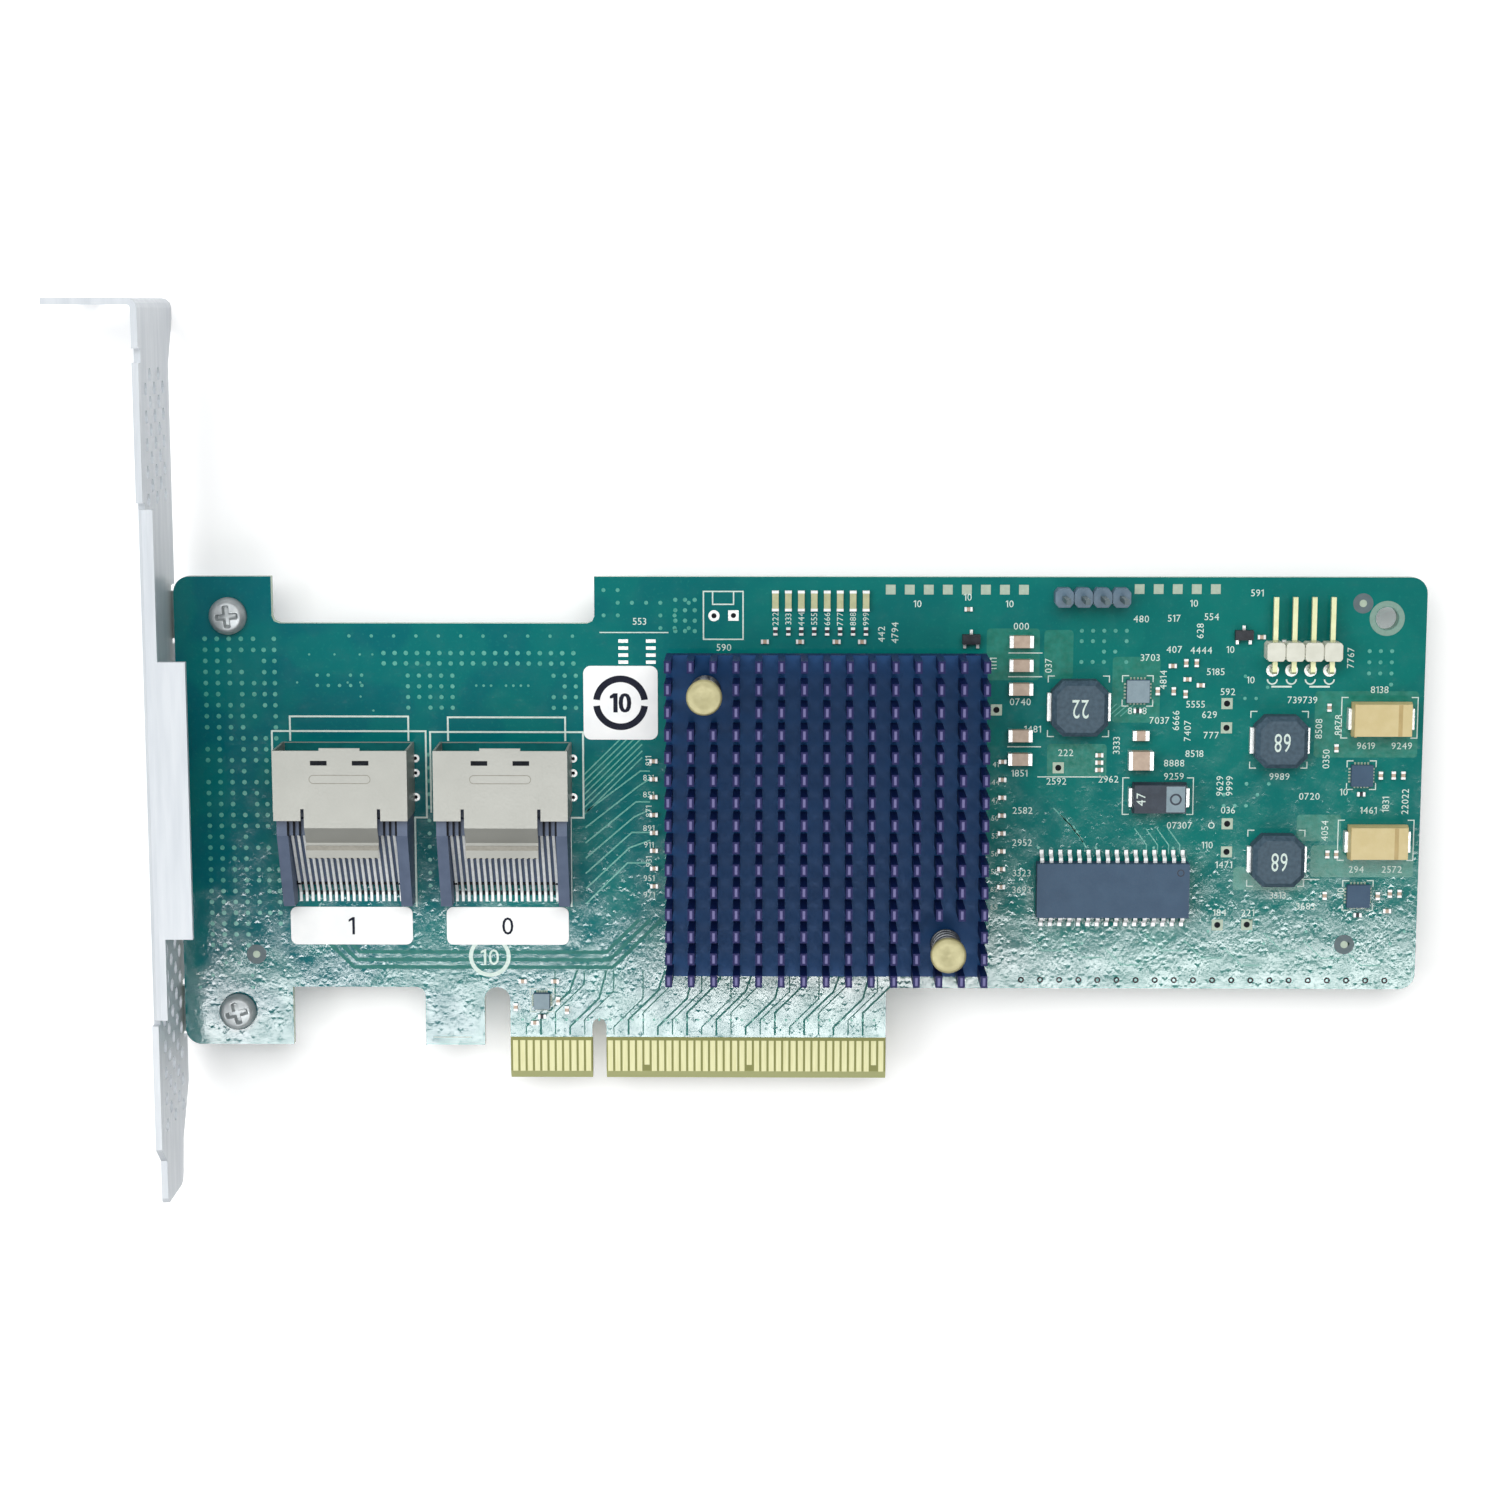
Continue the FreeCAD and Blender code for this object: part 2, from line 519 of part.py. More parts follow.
def full_height_bracket():
    tab_face = BACK_FACE - SHEET
    tab_rise = tab_face + BEND - PLATE_LOW
    wide = PLATE_HIGH - TOP_TAB_WIDTH
    plate_end = BRACKET_TOP - BEND
    shoulder = BRACKET_TIP + TIP_LENGTH
    tip_high = PLATE_HIGH - TIP_INSET
    tip_low = tip_high - TIP_WIDTH
    half_tab = MOUNT_TAB_HEIGHT / 2
    outline = [(plate_end, wide, 0), (plate_end, PLATE_HIGH, 0)]
    notch_bottom = BRACKET_TOP - ALIGN_NOTCH_FROM_TOP
    outline += edge_recess(notch_bottom + ALIGN_NOTCH_HEIGHT, notch_bottom, PLATE_HIGH,
                           -ALIGN_NOTCH_DEPTH)
    outline += edge_recess(LIP_TOP + RELIEF, LIP_BOTTOM - RELIEF, PLATE_HIGH, -BEND)
    outline += [
        (shoulder + TIP_SHOULDER_HIGH, PLATE_HIGH, 0),
        (shoulder, tip_high, 0),
        (BRACKET_TIP, tip_high, TIP_RADII[0]),
        (BRACKET_TIP, tip_low, TIP_RADII[1]),
        (shoulder, tip_low - TIP_STEP, 0),
        (shoulder + TIP_SHOULDER_LOW, PLATE_LOW, 0),
    ]
    for _, y in SCREW_PLACES:
        outline += edge_recess(y - half_tab - RELIEF, y + half_tab + RELIEF, PLATE_LOW, tab_rise)
    outline += [(plate_end - TOP_SHOULDER, PLATE_LOW, 0), (plate_end - TOP_TAPER_END, wide, 0)]
    face = rounded_face(outline, lambda u, v, w: V(PLATE_OUTER, u, v))
    plate = face.extrude(V(SHEET, 0, 0))

    sheet = [plate]
    right, down, up = V(1, 0, 0), V(0, 0, -1), V(0, 0, 1)
    for bottom, top, leg in ((LIP_BOTTOM, LIP_TOP, LIP_LENGTH),
                             (FLANGE_BOTTOM, FLANGE_TOP, FLANGE_LENGTH)):
        sheet.append(bent_leg(V(PLATE_OUTER, bottom, PLATE_HIGH), right, up, V(0, 1, 0), leg,
                              top - bottom))
    for _, y in SCREW_PLACES:
        sheet.append(bent_leg(V(PLATE_OUTER, y - half_tab, tab_face), right, down, V(0, 1, 0),
                              MOUNT_TAB_LENGTH, MOUNT_TAB_HEIGHT))
    sheet.append(bent_leg(V(PLATE_INNER, BRACKET_TOP, wide), V(-1, 0, 0), V(0, 1, 0), up,
                          TOP_TAB_LENGTH, TOP_TAB_WIDTH))
    bracket = sheet[0].fuse(sheet[1:])

    threads = ((MOUNT_TAB_HOLE_RADIUS, tab_face), (MOUNT_TAB_HOLE_RADIUS, BACK_FACE))
    holes = [tapered(x, y, threads) for x, y in SCREW_PLACES]
    holes.append(screw_notch(wide))
    for y, z in vent_places():
        hole = tapered(0, 0, ((VENT_RADIUS, 0), (VENT_RADIUS, SHEET)), VENT_SIDES)
        hole.Placement = FreeCAD.Placement(V(PLATE_OUTER, y, z), FreeCAD.Rotation(V(0, 1, 0), 90))
        holes.append(hole)
    return bracket.cut(holes).removeSplitter()


def screw_notch(tab_edge):
    """The open-ended slot for the chassis screw, cut in from the tab's lower edge."""
    centre = PLATE_OUTER - SCREW_NOTCH_TO_PLATE
    radius = SCREW_NOTCH_WIDTH / 2
    end = tab_edge + SCREW_NOTCH_DEPTH
    bottom = BRACKET_TOP - SHEET
    slot = Part.makeBox(SCREW_NOTCH_WIDTH, SHEET, SCREW_NOTCH_DEPTH - radius,
                        V(centre - radius, bottom, tab_edge))
    round_end = Part.makeCylinder(radius, SHEET, V(centre, bottom, end - radius), V(0, 1, 0))
    return slot.fuse(round_end)


def bracket_screws():
    lowest = BACK_FACE - SHEET - SCREW_BELOW_TAB
    screws = []
    for x, y in SCREW_PLACES:
        shank = tapered(x, y, ((SCREW_SHANK_RADIUS, lowest), (SCREW_SHANK_RADIUS, 0)))
        head = tapered(x, y, ((SCREW_HEAD_RADIUS, 0), (SCREW_HEAD_RADIUS, SCREW_HEAD_RIM),
                              (SCREW_HEAD_CROWN_RADIUS, SCREW_HEAD_HEIGHT)))
        screws.append(shank.fuse(head).removeSplitter())
    return screws


# ---- heatsink, its fixings and the controller ---------------------------------------------------
def heatsink():
    left, bottom = SINK_X - SINK_SIZE_X / 2, SINK_Y - SINK_SIZE_Y / 2
    base = box(left, left + SINK_SIZE_X, bottom, bottom + SINK_SIZE_Y, SINK_BOTTOM, FIN_FOOT)
    keep_clear = PUSH_PIN_HEAD_RADIUS + FIN_CLEARANCE
    fins = []
    for column in range(FIN_COUNT):
        for row in range(FIN_COUNT):
            x = left + FIN_X / 2 + column * FIN_PITCH_X
            y = bottom + FIN_Y / 2 + row * FIN_PITCH_Y
            gaps = [math.hypot(max(abs(x - px) - FIN_X / 2, 0), max(abs(y - py) - FIN_Y / 2, 0))
                    for px, py in PUSH_PIN_PLACES]
            if min(gaps) > keep_clear:
                fins.append(block(x, y, FIN_FOOT, (FIN_X, FIN_Y, FIN_HEIGHT)))
    holes = [tapered(x, y, ((PUSH_PIN_HOLE_RADIUS, SINK_BOTTOM), (PUSH_PIN_HOLE_RADIUS, FIN_FOOT)))
             for x, y in PUSH_PIN_PLACES]
    return base.cut(holes).fuse(fins).removeSplitter()


def push_pins():
    """Brass pins whose barbed ends snap through the board."""
    barb_top = BACK_FACE - 0.05
    tip = barb_top - PUSH_PIN_BARB
    top = HEAD_UNDERSIDE + PUSH_PIN_HEAD
    pins = []
    for x, y in PUSH_PIN_PLACES:
        barb = tapered(x, y, ((PUSH_PIN_SHANK_RADIUS * 0.6, tip), (PUSH_PIN_BARB_RADIUS, barb_top)))
        shank = tapered(x, y, ((PUSH_PIN_SHANK_RADIUS, barb_top),
                               (PUSH_PIN_SHANK_RADIUS, HEAD_UNDERSIDE)))
        head = tapered(x, y, ((PUSH_PIN_HEAD_RADIUS, HEAD_UNDERSIDE), (PUSH_PIN_HEAD_RADIUS, top)))
        pins.append(shank.fuse([head, barb]).removeSplitter())
    return pins


def heatsink_springs():
    """Square-wire compression springs between the heatsink's base and the push pins' heads."""
    half = SPRING_WIRE / 2
    low = FIN_FOOT + half + SPRING_CLEARANCE
    rise = HEAD_UNDERSIDE - half - SPRING_CLEARANCE - low
    steps = int(SPRING_TURNS * SPRING_CHORDS)
    section = ((-half, -half), (half, -half), (half, half), (-half, half))
    springs = []
    for cx, cy in PUSH_PIN_PLACES:
        rings = []
        for step in range(steps + 1):
            turn = 2 * math.pi * step / SPRING_CHORDS
            z = low + rise * step / steps
            rings.append([V(cx + (SPRING_RADIUS + a) * math.cos(turn),
                            cy + (SPRING_RADIUS + a) * math.sin(turn), z + b) for a, b in section])
        springs.append(stacked(rings))
    return springs


def controller_package():
    substrate = block(SINK_X, SINK_Y, BALL_HEIGHT, (PACKAGE_SIZE, PACKAGE_SIZE, SUBSTRATE))
    lid = block(SINK_X, SINK_Y, BALL_HEIGHT + SUBSTRATE, (LID_SIZE, LID_SIZE, LID_HEIGHT))
    return substrate.fuse(lid)


def controller_ball_field():
    """The solder balls between package and board, as the one block that they fill."""
    side = PACKAGE_SIZE - 2 * BALL_FIELD_INSET
    return block(SINK_X, SINK_Y, 0, (side, side, BALL_HEIGHT))


# ---- cable ports --------------------------------------------------------------------------------
def port_shell(x):
    half = PORT_WIDTH / 2
    tube = box(x - half, x + half, SHELL_BACK, PORT_FRONT, 0, PORT_HEIGHT)
    bore = box(x - half + SHELL, x + half - SHELL, SHELL_BACK, PORT_FRONT, SHELL,
               PORT_HEIGHT - SHELL)
    roof = PORT_HEIGHT - SHELL
    lip = box(x - SHELL_LIP_WIDTH / 2, x + SHELL_LIP_WIDTH / 2, PORT_FRONT, PORT_FRONT + SHELL_LIP,
              roof, PORT_HEIGHT)
    half_tab = SPRING_TAB_WIDTH / 2
    end = SHELL_BACK - SPRING_TAB_REACH
    low = PORT_HEIGHT - SPRING_TAB_DROP
    knee = SHELL_BACK - SPRING_TAB_REACH * SPRING_TAB_KNEE
    foot = SHELL_BACK - SPRING_TAB_REACH * SPRING_TAB_FOOT
    step = SHELL_BACK - SPRING_TAB_REACH * SPRING_TAB_HOOK
    tab = side_profile([(SHELL_BACK, PORT_HEIGHT), (SHELL_BACK, roof), (knee, roof), (foot, low),
                        (step, low + SPRING_TAB_RISE), (end, low), (end, low + SHELL),
                        (step, low + SHELL + SPRING_TAB_RISE), (foot, low + SHELL),
                        (knee, PORT_HEIGHT)],
                       x - half_tab, x + half_tab)
    slot_y = PORT_FRONT - LATCH_SLOT_FROM_FRONT - LATCH_SLOT_LENGTH / 2
    cuts = [bore]
    for side in (-1, 1):
        cuts.append(block(x + side * LATCH_SLOT_X, slot_y, roof,
                          (LATCH_SLOT_WIDTH, LATCH_SLOT_LENGTH, SHELL)))
        cuts.append(block(x + side * (half_tab + SLIT_WIDTH / 2), SHELL_BACK + SLIT_LENGTH / 2, roof,
                          (SLIT_WIDTH, SLIT_LENGTH, SHELL)))
    return tube.cut(cuts).fuse([lip, tab]).removeSplitter()


def lead_slope():
    """Ends of the sloping run of a port's leads, as (y, z) at the underside."""
    return ((SHELL_BACK - PORT_LEAD_TOP_FROM_SHELL, PORT_LEAD_TOP_HEIGHT),
            (HOUSING_BACK + PORT_LEAD_FOOT, 0.0))


def port_housing(x):
    half = HOUSING_WIDTH / 2
    (top_y, top_z), (foot_y, _) = lead_slope()
    roof = PORT_HEIGHT - SHELL - SPRING_TAB_DROP * ROOF_CLEARANCE_SHARE
    cheek_top, core_top, core_rear = roof - CHEEK_BELOW_ROOF, roof - CORE_BELOW_ROOF, foot_y + CORE_REAR_SETBACK
    cheek = [(SHELL_BACK, 0), (SHELL_BACK, cheek_top), (top_y, cheek_top),
             (HOUSING_BACK, CHEEK_REAR_HEIGHT), (HOUSING_BACK, 0)]
    core = [(SHELL_BACK, 0), (SHELL_BACK, core_top), (top_y, core_top), (top_y, top_z - LEAD_BED),
            (core_rear, CORE_REAR_HEIGHT), (core_rear, 0)]
    body = [side_profile(core, x - half, x + half)]
    for inner, outer in ((x - half, x - half + HOUSING_CHEEK), (x + half - HOUSING_CHEEK, x + half)):
        body.append(side_profile(cheek, inner, outer))
    middle = (PORT_HEIGHT - NOSE_HEIGHT) / 2
    nose = box(x - NOSE_WIDTH / 2, x + NOSE_WIDTH / 2, SHELL_BACK, SHELL_BACK + NOSE_LENGTH,
               middle, middle + NOSE_HEIGHT)
    slot_bottom = (PORT_HEIGHT - CARD_SLOT_HEIGHT) / 2
    slot = box(x - NOSE_WIDTH / 2 + CARD_SLOT_WALL, x + NOSE_WIDTH / 2 - CARD_SLOT_WALL,
               SHELL_BACK + CARD_SLOT_WALL,
               SHELL_BACK + NOSE_LENGTH, slot_bottom, slot_bottom + CARD_SLOT_HEIGHT)
    return joined(body + [nose]).cut(slot)


def port_leads(x):
    (top_y, top_z), (foot_y, _) = lead_slope()
    end = HOUSING_BACK + LEAD_BED
    profile = [(top_y, top_z + PORT_LEAD), (top_y, top_z), (foot_y, 0), (end, 0),
               (foot_y - LEAD_BED, PORT_LEAD)]
    first = x - (PORT_LEADS - 1) * PORT_LEAD_PITCH / 2
    return [side_profile(profile, first + i * PORT_LEAD_PITCH - PORT_LEAD_WIDTH / 2,
                         first + i * PORT_LEAD_PITCH + PORT_LEAD_WIDTH / 2) for i in range(PORT_LEADS)]


def labels():
    top = HOUSING_BACK - PORT_LABEL_GAP
    return [slab(cut_corners(x, top - PORT_LABEL_HEIGHT / 2, PORT_LABEL_WIDTH, PORT_LABEL_HEIGHT,
                             LABEL_CORNER), 0, LABEL) for x in PORT_X]


# ---- chips and power parts ----------------------------------------------------------------------
def memory_chip():
    size = (MEMORY_LENGTH, MEMORY_WIDTH, MEMORY_HEIGHT)
    return block(MEMORY_X, MEMORY_Y, MEMORY_STANDOFF, size)


def memory_leads():
    """Gull-wing leads along both long sides, from the body's mid-height to the board."""
    shoulder = MEMORY_STANDOFF + MEMORY_HEIGHT / 2
    leads = []
    for side in (-1, 1):
        face = MEMORY_Y + side * MEMORY_WIDTH / 2
        knee = face + side * MEMORY_LEAD_KNEE
        toe = MEMORY_Y + side * MEMORY_LEAD_SPAN / 2
        profile = [(face, shoulder + MEMORY_LEAD), (face, shoulder), (knee, 0), (toe, 0)]
        for i in range(MEMORY_LEADS):
            x = MEMORY_X + (i - (MEMORY_LEADS - 1) / 2) * MEMORY_LEAD_PITCH
            leads.append(side_profile(profile, x - MEMORY_LEAD_WIDTH / 2, x + MEMORY_LEAD_WIDTH / 2))
    return leads


def inductor(x, y, side):
    """A moulded eight-sided block with a bevelled top."""
    half, cut = side / 2, side * 0.2
    rings = []
    for inset, z in ((0, 0.1), (0, INDUCTOR_HEIGHT - 0.6), (0.6, INDUCTOR_HEIGHT)):
        reach = half - inset
        near = reach - cut + inset * 0.4
        ring = [(reach, near), (near, reach), (-near, reach), (-reach, near),
                (-reach, -near), (-near, -reach), (near, -reach), (reach, -near)]
        rings.append([V(x + u, y + v, z) for u, v in ring])
    return stacked(rings)


def inductor_terminals(x, y, side):
    half = side / 2
    return [box(x + half, x + half + 0.5, y - side * 0.25, y + side * 0.25, 0, 0.9),
            box(x - half - 0.5, x - half, y - side * 0.25, y + side * 0.25, 0, 0.9)]


def moulded_body(place, size):
    """A moulded capacitor's case, drawn in a little towards its top and bottom."""
    x, y = place
    length, width, height = size
    rings = []
    for inset, z in ((0.15, 0.1), (0, height * 0.5), (0.2, height)):
        rings.append([(length / 2 - inset, width / 2 - inset), z])
    wires = []
    for (u, v), z in rings:
        ring = [V(x + a * u, y + b * v, z) for a, b in ((1, 1), (-1, 1), (-1, -1), (1, -1))]
        wires.append(ring)
    return stacked(wires)


def moulded_terminals(place, size):
    x, y = place
    length, width, height = size
    width *= 0.6
    end = length / 2
    return [box(x + side * end - (TERMINAL_REACH if side < 0 else 0),
                x + side * end + (TERMINAL_REACH if side > 0 else 0),
                y - width / 2, y + width / 2, 0, height * 0.5) for side in (-1, 1)]


def ceramics():
    """(x, y, size) of each large ceramic capacitor, its length along X."""
    column = [(CERAMIC_COLUMN_X, y, CERAMIC_SIZE) for y in CERAMIC_COLUMN_Y]
    return column + [(*BULK_CERAMIC, BULK_CERAMIC_SIZE), (*FILTER_CERAMIC, FILTER_CERAMIC_SIZE)]


def ceramic_bodies():
    return [block(x, y, 0, (size[0] - 2 * CERAMIC_END, size[1], size[2])) for x, y, size in ceramics()]


def ceramic_ends():
    ends = []
    for x, y, size in ceramics():
        for side in (-1, 1):
            middle = x + side * (size[0] - CERAMIC_END) / 2
            ends.append(block(middle, y, 0, (CERAMIC_END, size[1], size[2])))
    return ends


def regulator_chips():
    return [block(x, y, 0, (side, side, REGULATOR_HEIGHT)) for x, y, side in REGULATOR_CHIPS]


def transistors():
    return [block(x, y, 0.1, TRANSISTOR_SIZE) for x, y in TRANSISTORS]


def transistor_legs():
    length, width, _ = TRANSISTOR_SIZE
    legs = []
    for x, y in TRANSISTORS:
        for dx, side in ((-length * 0.36, -1), (length * 0.36, -1), (0, 1)):
            edge = y + side * width / 2
            far = edge + side * TRANSISTOR_LEG
            legs.append(box(x + dx - 0.2, x + dx + 0.2, min(edge, far), max(edge, far), 0, 0.4))
    return legs


def activity_leds():
    return [block(LED_FIRST_X + i * LED_PITCH, LED_Y, 0, LED_SIZE) for i in range(LED_COUNT)]


# ---- headers ------------------------------------------------------------------------------------
def led_header_body():
    first, last = LED_HEADER_PLACES[0], LED_HEADER_PLACES[-1]
    back = LED_HEADER_Y + LED_HEADER_BLOCK_FROM_TAILS
    body = box(first - HEADER_PITCH / 2, last + HEADER_PITCH / 2, back, back + LED_HEADER_BLOCK, 0,
               LED_HEADER_AXIS + HEADER_PITCH / 2)
    half = PIN_SIZE / 2
    cuts = [box(x - half, x + half, back, back + LED_HEADER_BLOCK, LED_HEADER_AXIS - half,
                LED_HEADER_AXIS + half) for x in LED_HEADER_PLACES]
    return body.cut(cuts)


def led_header_pins():
    """Square pins bent through a right angle, from the board's back face to past the block."""
    half = PIN_SIZE / 2
    tip = LED_HEADER_Y + LED_HEADER_BLOCK_FROM_TAILS + LED_HEADER_BLOCK + LED_HEADER_TIP
    low, axis = BACK_FACE, LED_HEADER_AXIS
    profile = [(LED_HEADER_Y - half, low), (LED_HEADER_Y + half, low),
               (LED_HEADER_Y + half, axis - half), (tip, axis - half), (tip, axis + half),
               (LED_HEADER_Y - half + 0.3, axis + half), (LED_HEADER_Y - half, axis + half - 0.3)]
    return [side_profile(profile, x - half, x + half) for x in LED_HEADER_PLACES]


def service_header_body():
    first, last = SERVICE_HEADER_PLACES[0], SERVICE_HEADER_PLACES[-1]
    half = HEADER_PITCH / 2
    body = box(first - half, last + half, SERVICE_HEADER_Y - half, SERVICE_HEADER_Y + half, 0,
               SERVICE_HEADER_HEIGHT)
    cuts = [block(x, SERVICE_HEADER_Y, 0, (PIN_SIZE, PIN_SIZE, SERVICE_HEADER_HEIGHT))
            for x in SERVICE_HEADER_PLACES]
    return body.cut(cuts)


def service_header_pins():
    size = (PIN_SIZE, PIN_SIZE, SERVICE_PIN_TOP - BACK_FACE)
    return [block(x, SERVICE_HEADER_Y, BACK_FACE, size) for x in SERVICE_HEADER_PLACES]


def header_solder_joints():
    """A solder cone over the tail of each header pin on the back of the board."""
    rings = ((JOINT_TIP_RADIUS, BACK_FACE - JOINT_HEIGHT), (JOINT_RADIUS, BACK_FACE))
    return [tapered(x, y, rings, JOINT_SIDES) for x, y in header_tails()]


# ---- small chip parts ---------------------------------------------------------------------------
def lying(x, y, size=CHIP):
    return block(x, y, 0, size)


def standing(x, y, size=CHIP):
    return block(x, y, 0, (size[1], size[0], size[2]))


def chip_capacitors():
    """Coupling capacitors in a column each side of the heatsink, and one beside each regulator."""
    chips = []
    for i in range(CHIP_COLUMN_COUNT):
        y = CHIP_COLUMN_TOP - i * CHIP_COLUMN_PITCH
        chips += [lying(CHIP_COLUMN_X_LEFT, y), lying(CHIP_COLUMN_X_RIGHT, y)]
    for x, y, side in REGULATOR_CHIPS:
        reach = side / 2 + REGULATOR_CHIP_GAP
        chips.append(standing(x + reach, y))
    return chips


def chip_resistors():
    """One series resistor under each activity light, and one beside each regulator."""
    chips = [standing(LED_FIRST_X + i * LED_PITCH, LED_Y - LED_RESISTOR_FROM_LED)
             for i in range(LED_COUNT)]
    for x, y, side in REGULATOR_CHIPS:
        reach = side / 2 + REGULATOR_CHIP_GAP
        chips.append(lying(x, y - reach))
    return chips


def back_capacitors():
    """Decoupling capacitors in a grid on the back, under the controller."""
    chips = []
    for i in range(BACK_GRID):
        for j in range(BACK_GRID):
            x = SINK_X + (i - (BACK_GRID - 1) / 2) * BACK_GRID_PITCH
            y = SINK_Y + (j - (BACK_GRID - 1) / 2) * BACK_GRID_PITCH
            chips.append(block(x, y, BACK_FACE - BACK_GRID_SIZE[2], BACK_GRID_SIZE))
    return chips


# ---- every piece ----------------------------------------------------------------------------------
os.makedirs("parts", exist_ok=True)

export("circuit_board", [circuit_board()])
export("edge_contacts_front", edge_contacts(0, FRONT_SHORT_CONTACTS))
export("edge_contacts_back", edge_contacts(BACK_FACE - CONTACT_THICKNESS, BACK_SHORT_CONTACTS))
export("full_height_bracket", [full_height_bracket()])
export("bracket_screws", bracket_screws())
export("heatsink", [heatsink()])
export("heatsink_push_pins", push_pins())
export("heatsink_springs", heatsink_springs())
export("thermal_pad", [block(SINK_X, SINK_Y, PACKAGE_TOP, (LID_SIZE, LID_SIZE, THERMAL_PAD))])
export("controller_package", [controller_package()])
export("controller_ball_field", [controller_ball_field()])
for number, port_x in ((1, PORT_X[0]), (0, PORT_X[1])):
    export(f"port_{number}_shell", [port_shell(port_x)])
    export(f"port_{number}_housing", [port_housing(port_x)])
    export(f"port_{number}_leads", port_leads(port_x))
export("port_labels", labels())
export("dial_label", [slab(cut_corners(DIAL_LABEL_X, DIAL_LABEL_Y, DIAL_LABEL_SIZE, DIAL_LABEL_SIZE,
                                       LABEL_CORNER), 0, LABEL)])
export("memory_chip", [memory_chip()])
export("memory_chip_leads", memory_leads())
export("inductor_bodies", [inductor(*place) for place in INDUCTORS])
export("inductor_terminals", [t for place in INDUCTORS for t in inductor_terminals(*place)])
export("tantalum_capacitors", [moulded_body(place, TANTALUM_SIZE) for place in TANTALUMS])
export("polymer_capacitor", [moulded_body(POLYMER, POLYMER_SIZE)])
export("moulded_capacitor_terminals",
       [t for place in TANTALUMS for t in moulded_terminals(place, TANTALUM_SIZE)]
       + moulded_terminals(POLYMER, POLYMER_SIZE))
export("ceramic_capacitor_bodies", ceramic_bodies())
export("ceramic_capacitor_ends", ceramic_ends())
export("regulator_chips", regulator_chips())
export("transistors", transistors())
export("transistor_legs", transistor_legs())
export("activity_leds", activity_leds())
export("led_header_body", [led_header_body()])
export("led_header_pins", led_header_pins())
export("service_header_body", [service_header_body()])
export("service_header_pins", service_header_pins())
export("header_solder_joints", header_solder_joints())
export("chip_capacitors", chip_capacitors())
export("chip_resistors", chip_resistors())
export("back_capacitors", back_capacitors())
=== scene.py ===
import math
import bmesh
import bpy
import numpy as np
from mathutils import Matrix, Vector


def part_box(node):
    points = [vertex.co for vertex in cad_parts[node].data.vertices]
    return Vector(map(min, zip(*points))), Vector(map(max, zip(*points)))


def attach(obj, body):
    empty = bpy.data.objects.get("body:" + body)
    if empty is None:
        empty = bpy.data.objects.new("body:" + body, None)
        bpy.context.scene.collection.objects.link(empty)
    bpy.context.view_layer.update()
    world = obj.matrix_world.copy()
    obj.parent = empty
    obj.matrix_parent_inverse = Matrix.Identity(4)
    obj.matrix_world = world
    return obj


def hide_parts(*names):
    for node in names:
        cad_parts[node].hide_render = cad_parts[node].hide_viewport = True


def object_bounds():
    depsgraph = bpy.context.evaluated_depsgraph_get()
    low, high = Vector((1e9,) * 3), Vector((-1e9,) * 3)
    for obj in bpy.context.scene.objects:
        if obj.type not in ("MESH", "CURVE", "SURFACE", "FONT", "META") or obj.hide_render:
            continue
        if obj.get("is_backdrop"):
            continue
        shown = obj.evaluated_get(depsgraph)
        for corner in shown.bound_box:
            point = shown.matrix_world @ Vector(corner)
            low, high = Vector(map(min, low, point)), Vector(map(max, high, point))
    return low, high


# Looks for a storage controller card that lies flat, component face up. Lengths in this file are
# millimetres in the CAD frame (X along the card, Y towards its top edge, Z out of the component
# face); piece() turns them into metres.

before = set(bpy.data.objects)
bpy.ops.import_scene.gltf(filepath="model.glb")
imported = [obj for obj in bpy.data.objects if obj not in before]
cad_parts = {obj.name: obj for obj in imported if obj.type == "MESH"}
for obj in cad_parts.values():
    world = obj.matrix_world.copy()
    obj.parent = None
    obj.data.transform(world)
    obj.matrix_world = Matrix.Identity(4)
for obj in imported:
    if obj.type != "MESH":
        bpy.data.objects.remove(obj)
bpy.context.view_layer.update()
MM = 0.001
TURN = 2 * math.pi
rng = np.random.default_rng(7)


def place(node):
    """A CAD node's box in millimetres: lowest corner, highest corner, middle."""
    low, high = (np.array(corner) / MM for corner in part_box(node))
    return low, high, (low + high) / 2


def islands(name):
    """The box of each separate body in a CAD node, as lowest and highest corners in millimetres."""
    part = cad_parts[name]
    points = [tuple(round(c / MM, 3) for c in part.matrix_world @ v.co) for v in part.data.vertices]
    group = {p: p for p in points}

    def head(p):
        while group[p] != p:
            p = group[p]
        return p
    for face in part.data.polygons:
        for i in face.vertices[1:]:
            group[head(points[i])] = head(points[face.vertices[0]])
    bodies = {}
    for p in group:
        bodies.setdefault(head(p), []).append(p)
    return sorted((tuple(np.min(b, 0)), tuple(np.max(b, 0))) for b in bodies.values())


# ---- sizes that several pieces share -------------------------------------------------------------
CONTACT_TOP = 5.75             # the lacquer stops above the edge contacts, leaving bare laminate
PAPER = 0.1                    # thickness of a label
PIN_HEAD = 2.35                # radius of a push pin's head
PITCH = 2.54                   # from one header pin or test pad to the next
LED_PINS = [(90.6 + PITCH * i, 56.4) for i in range(4)]
SERVICE_PINS = [(62.4 + PITCH * i, 66.3) for i in range(4)]
END_HOLE = (105.7, 63.4)
BOARD_HOLES = [(14.75, 54.3), (46.85, 20.1), END_HOLE]
FIDUCIALS = [(102.45, 65.41), (101.28, 18.9), (-46.69, 17.24)]
BACK = place("circuit_board")[0][2]
# Heights over the board: planes under the lacquer, traces, pads and printing, then how far printing
# stands off a label or a part, and how far one line stands off another that it crosses.
POUR_Z, TRACE_Z, PAD_Z, SILK_Z, INK, CROSSING = 0.010, 0.015, 0.020, 0.030, 0.02, 0.004


